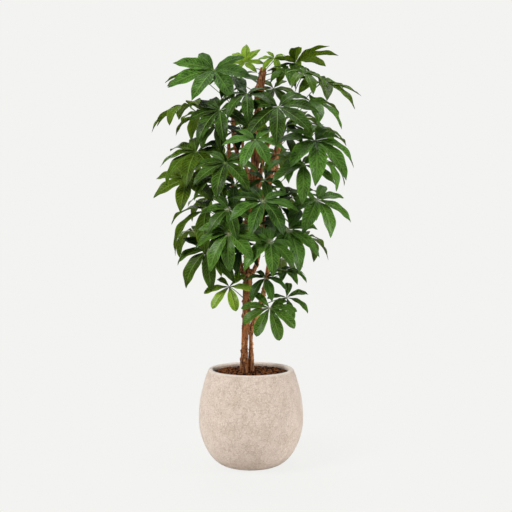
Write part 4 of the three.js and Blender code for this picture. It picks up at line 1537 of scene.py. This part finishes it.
def place_floor(settings):
    form = bmesh.new()
    bmesh.ops.create_circle(form, cap_ends=True, segments=FLOOR_SIDES, radius=FLOOR_RADIUS)
    mesh = bpy.data.meshes.new("pale_floor")
    form.to_mesh(mesh)
    form.free()
    mesh.materials.append(pale_floor(settings))
    placed("pale_floor", mesh)


def place_light(name, place, aim_height, size, power):
    light = bpy.data.lights.new(name, "AREA")
    light.shape = "SQUARE"
    light.size = size
    light.energy = power
    lamp = placed(name, light)
    lamp.location = place
    aim = Vector((0, 0, aim_height)) - Vector(place)
    lamp.rotation_euler = aim.to_track_quat("-Z", "Y").to_euler()


def place_camera(settings):
    lens = bpy.data.cameras.new("camera")
    lens.lens = settings.lens
    lens.sensor_width = SENSOR_WIDTH
    camera = placed("camera", lens)
    camera.location = (settings.aside, -settings.distance, settings.height)
    camera.rotation_euler = (math.pi / 2, 0, 0)
    bpy.context.scene.camera = camera


class MONEYTREE_OT_studio(bpy.types.Operator):
    """Set up the pale floor, the soft lights and the camera"""

    bl_idname = "moneytree.studio"
    bl_label = "Set Up Studio"

    def execute(self, context):
        settings = context.scene.money_tree.studio
        place_floor(settings)
        for name, (place, aim_height, size) in LIGHTS.items():
            place_light(f"{name}_light", place, aim_height, size, getattr(settings, name))
        place_camera(settings)
        context.scene.world = pale_sky(settings)
        context.scene.view_settings.view_transform = "Standard"
        return {"FINISHED"}


# ---- Panel and registration ----


class MONEYTREE_PT_panel(bpy.types.Panel):
    """The tree's settings and the steps that make it"""

    bl_idname = "MONEYTREE_PT_panel"
    bl_label = "Money Tree"
    bl_space_type = "VIEW_3D"
    bl_region_type = "UI"
    bl_category = "Money Tree"

    def draw(self, context):
        tree = context.scene.money_tree
        for title, group, operators in (
            ("Pot", tree.pot, ("moneytree.pot",)),
            ("Soil", tree.soil, ("moneytree.soil",)),
            ("Wood", tree.bark, ("moneytree.trunks",)),
            ("Leaves", tree.leaf, ("moneytree.leaves", "moneytree.young_leaves")),
            ("Studio", tree.studio, ("moneytree.studio",)),
        ):
            box = self.layout.box()
            box.label(text=title)
            for name in group.__annotations__:
                box.prop(group, name)
            for operator in operators:
                box.operator(operator)


CLASSES = (
    PotSettings,
    SoilSettings,
    BarkSettings,
    LeafSettings,
    StudioSettings,
    MoneyTreeSettings,
    MONEYTREE_OT_pot,
    MONEYTREE_OT_soil,
    MONEYTREE_OT_trunks,
    MONEYTREE_OT_leaves,
    MONEYTREE_OT_young_leaves,
    MONEYTREE_OT_studio,
    MONEYTREE_PT_panel,
)


def register():
    for kind in CLASSES:
        bpy.utils.register_class(kind)
    bpy.types.Scene.money_tree = PointerProperty(type=MoneyTreeSettings)


def unregister():
    del bpy.types.Scene.money_tree
    for kind in reversed(CLASSES):
        bpy.utils.unregister_class(kind)


def main():
    register()
    bpy.ops.moneytree.studio()
    bpy.ops.moneytree.pot()
    bpy.ops.moneytree.soil()
    bpy.ops.moneytree.trunks()
    bpy.ops.moneytree.leaves()
    bpy.ops.moneytree.young_leaves()


if __name__ == "__main__":
    main()
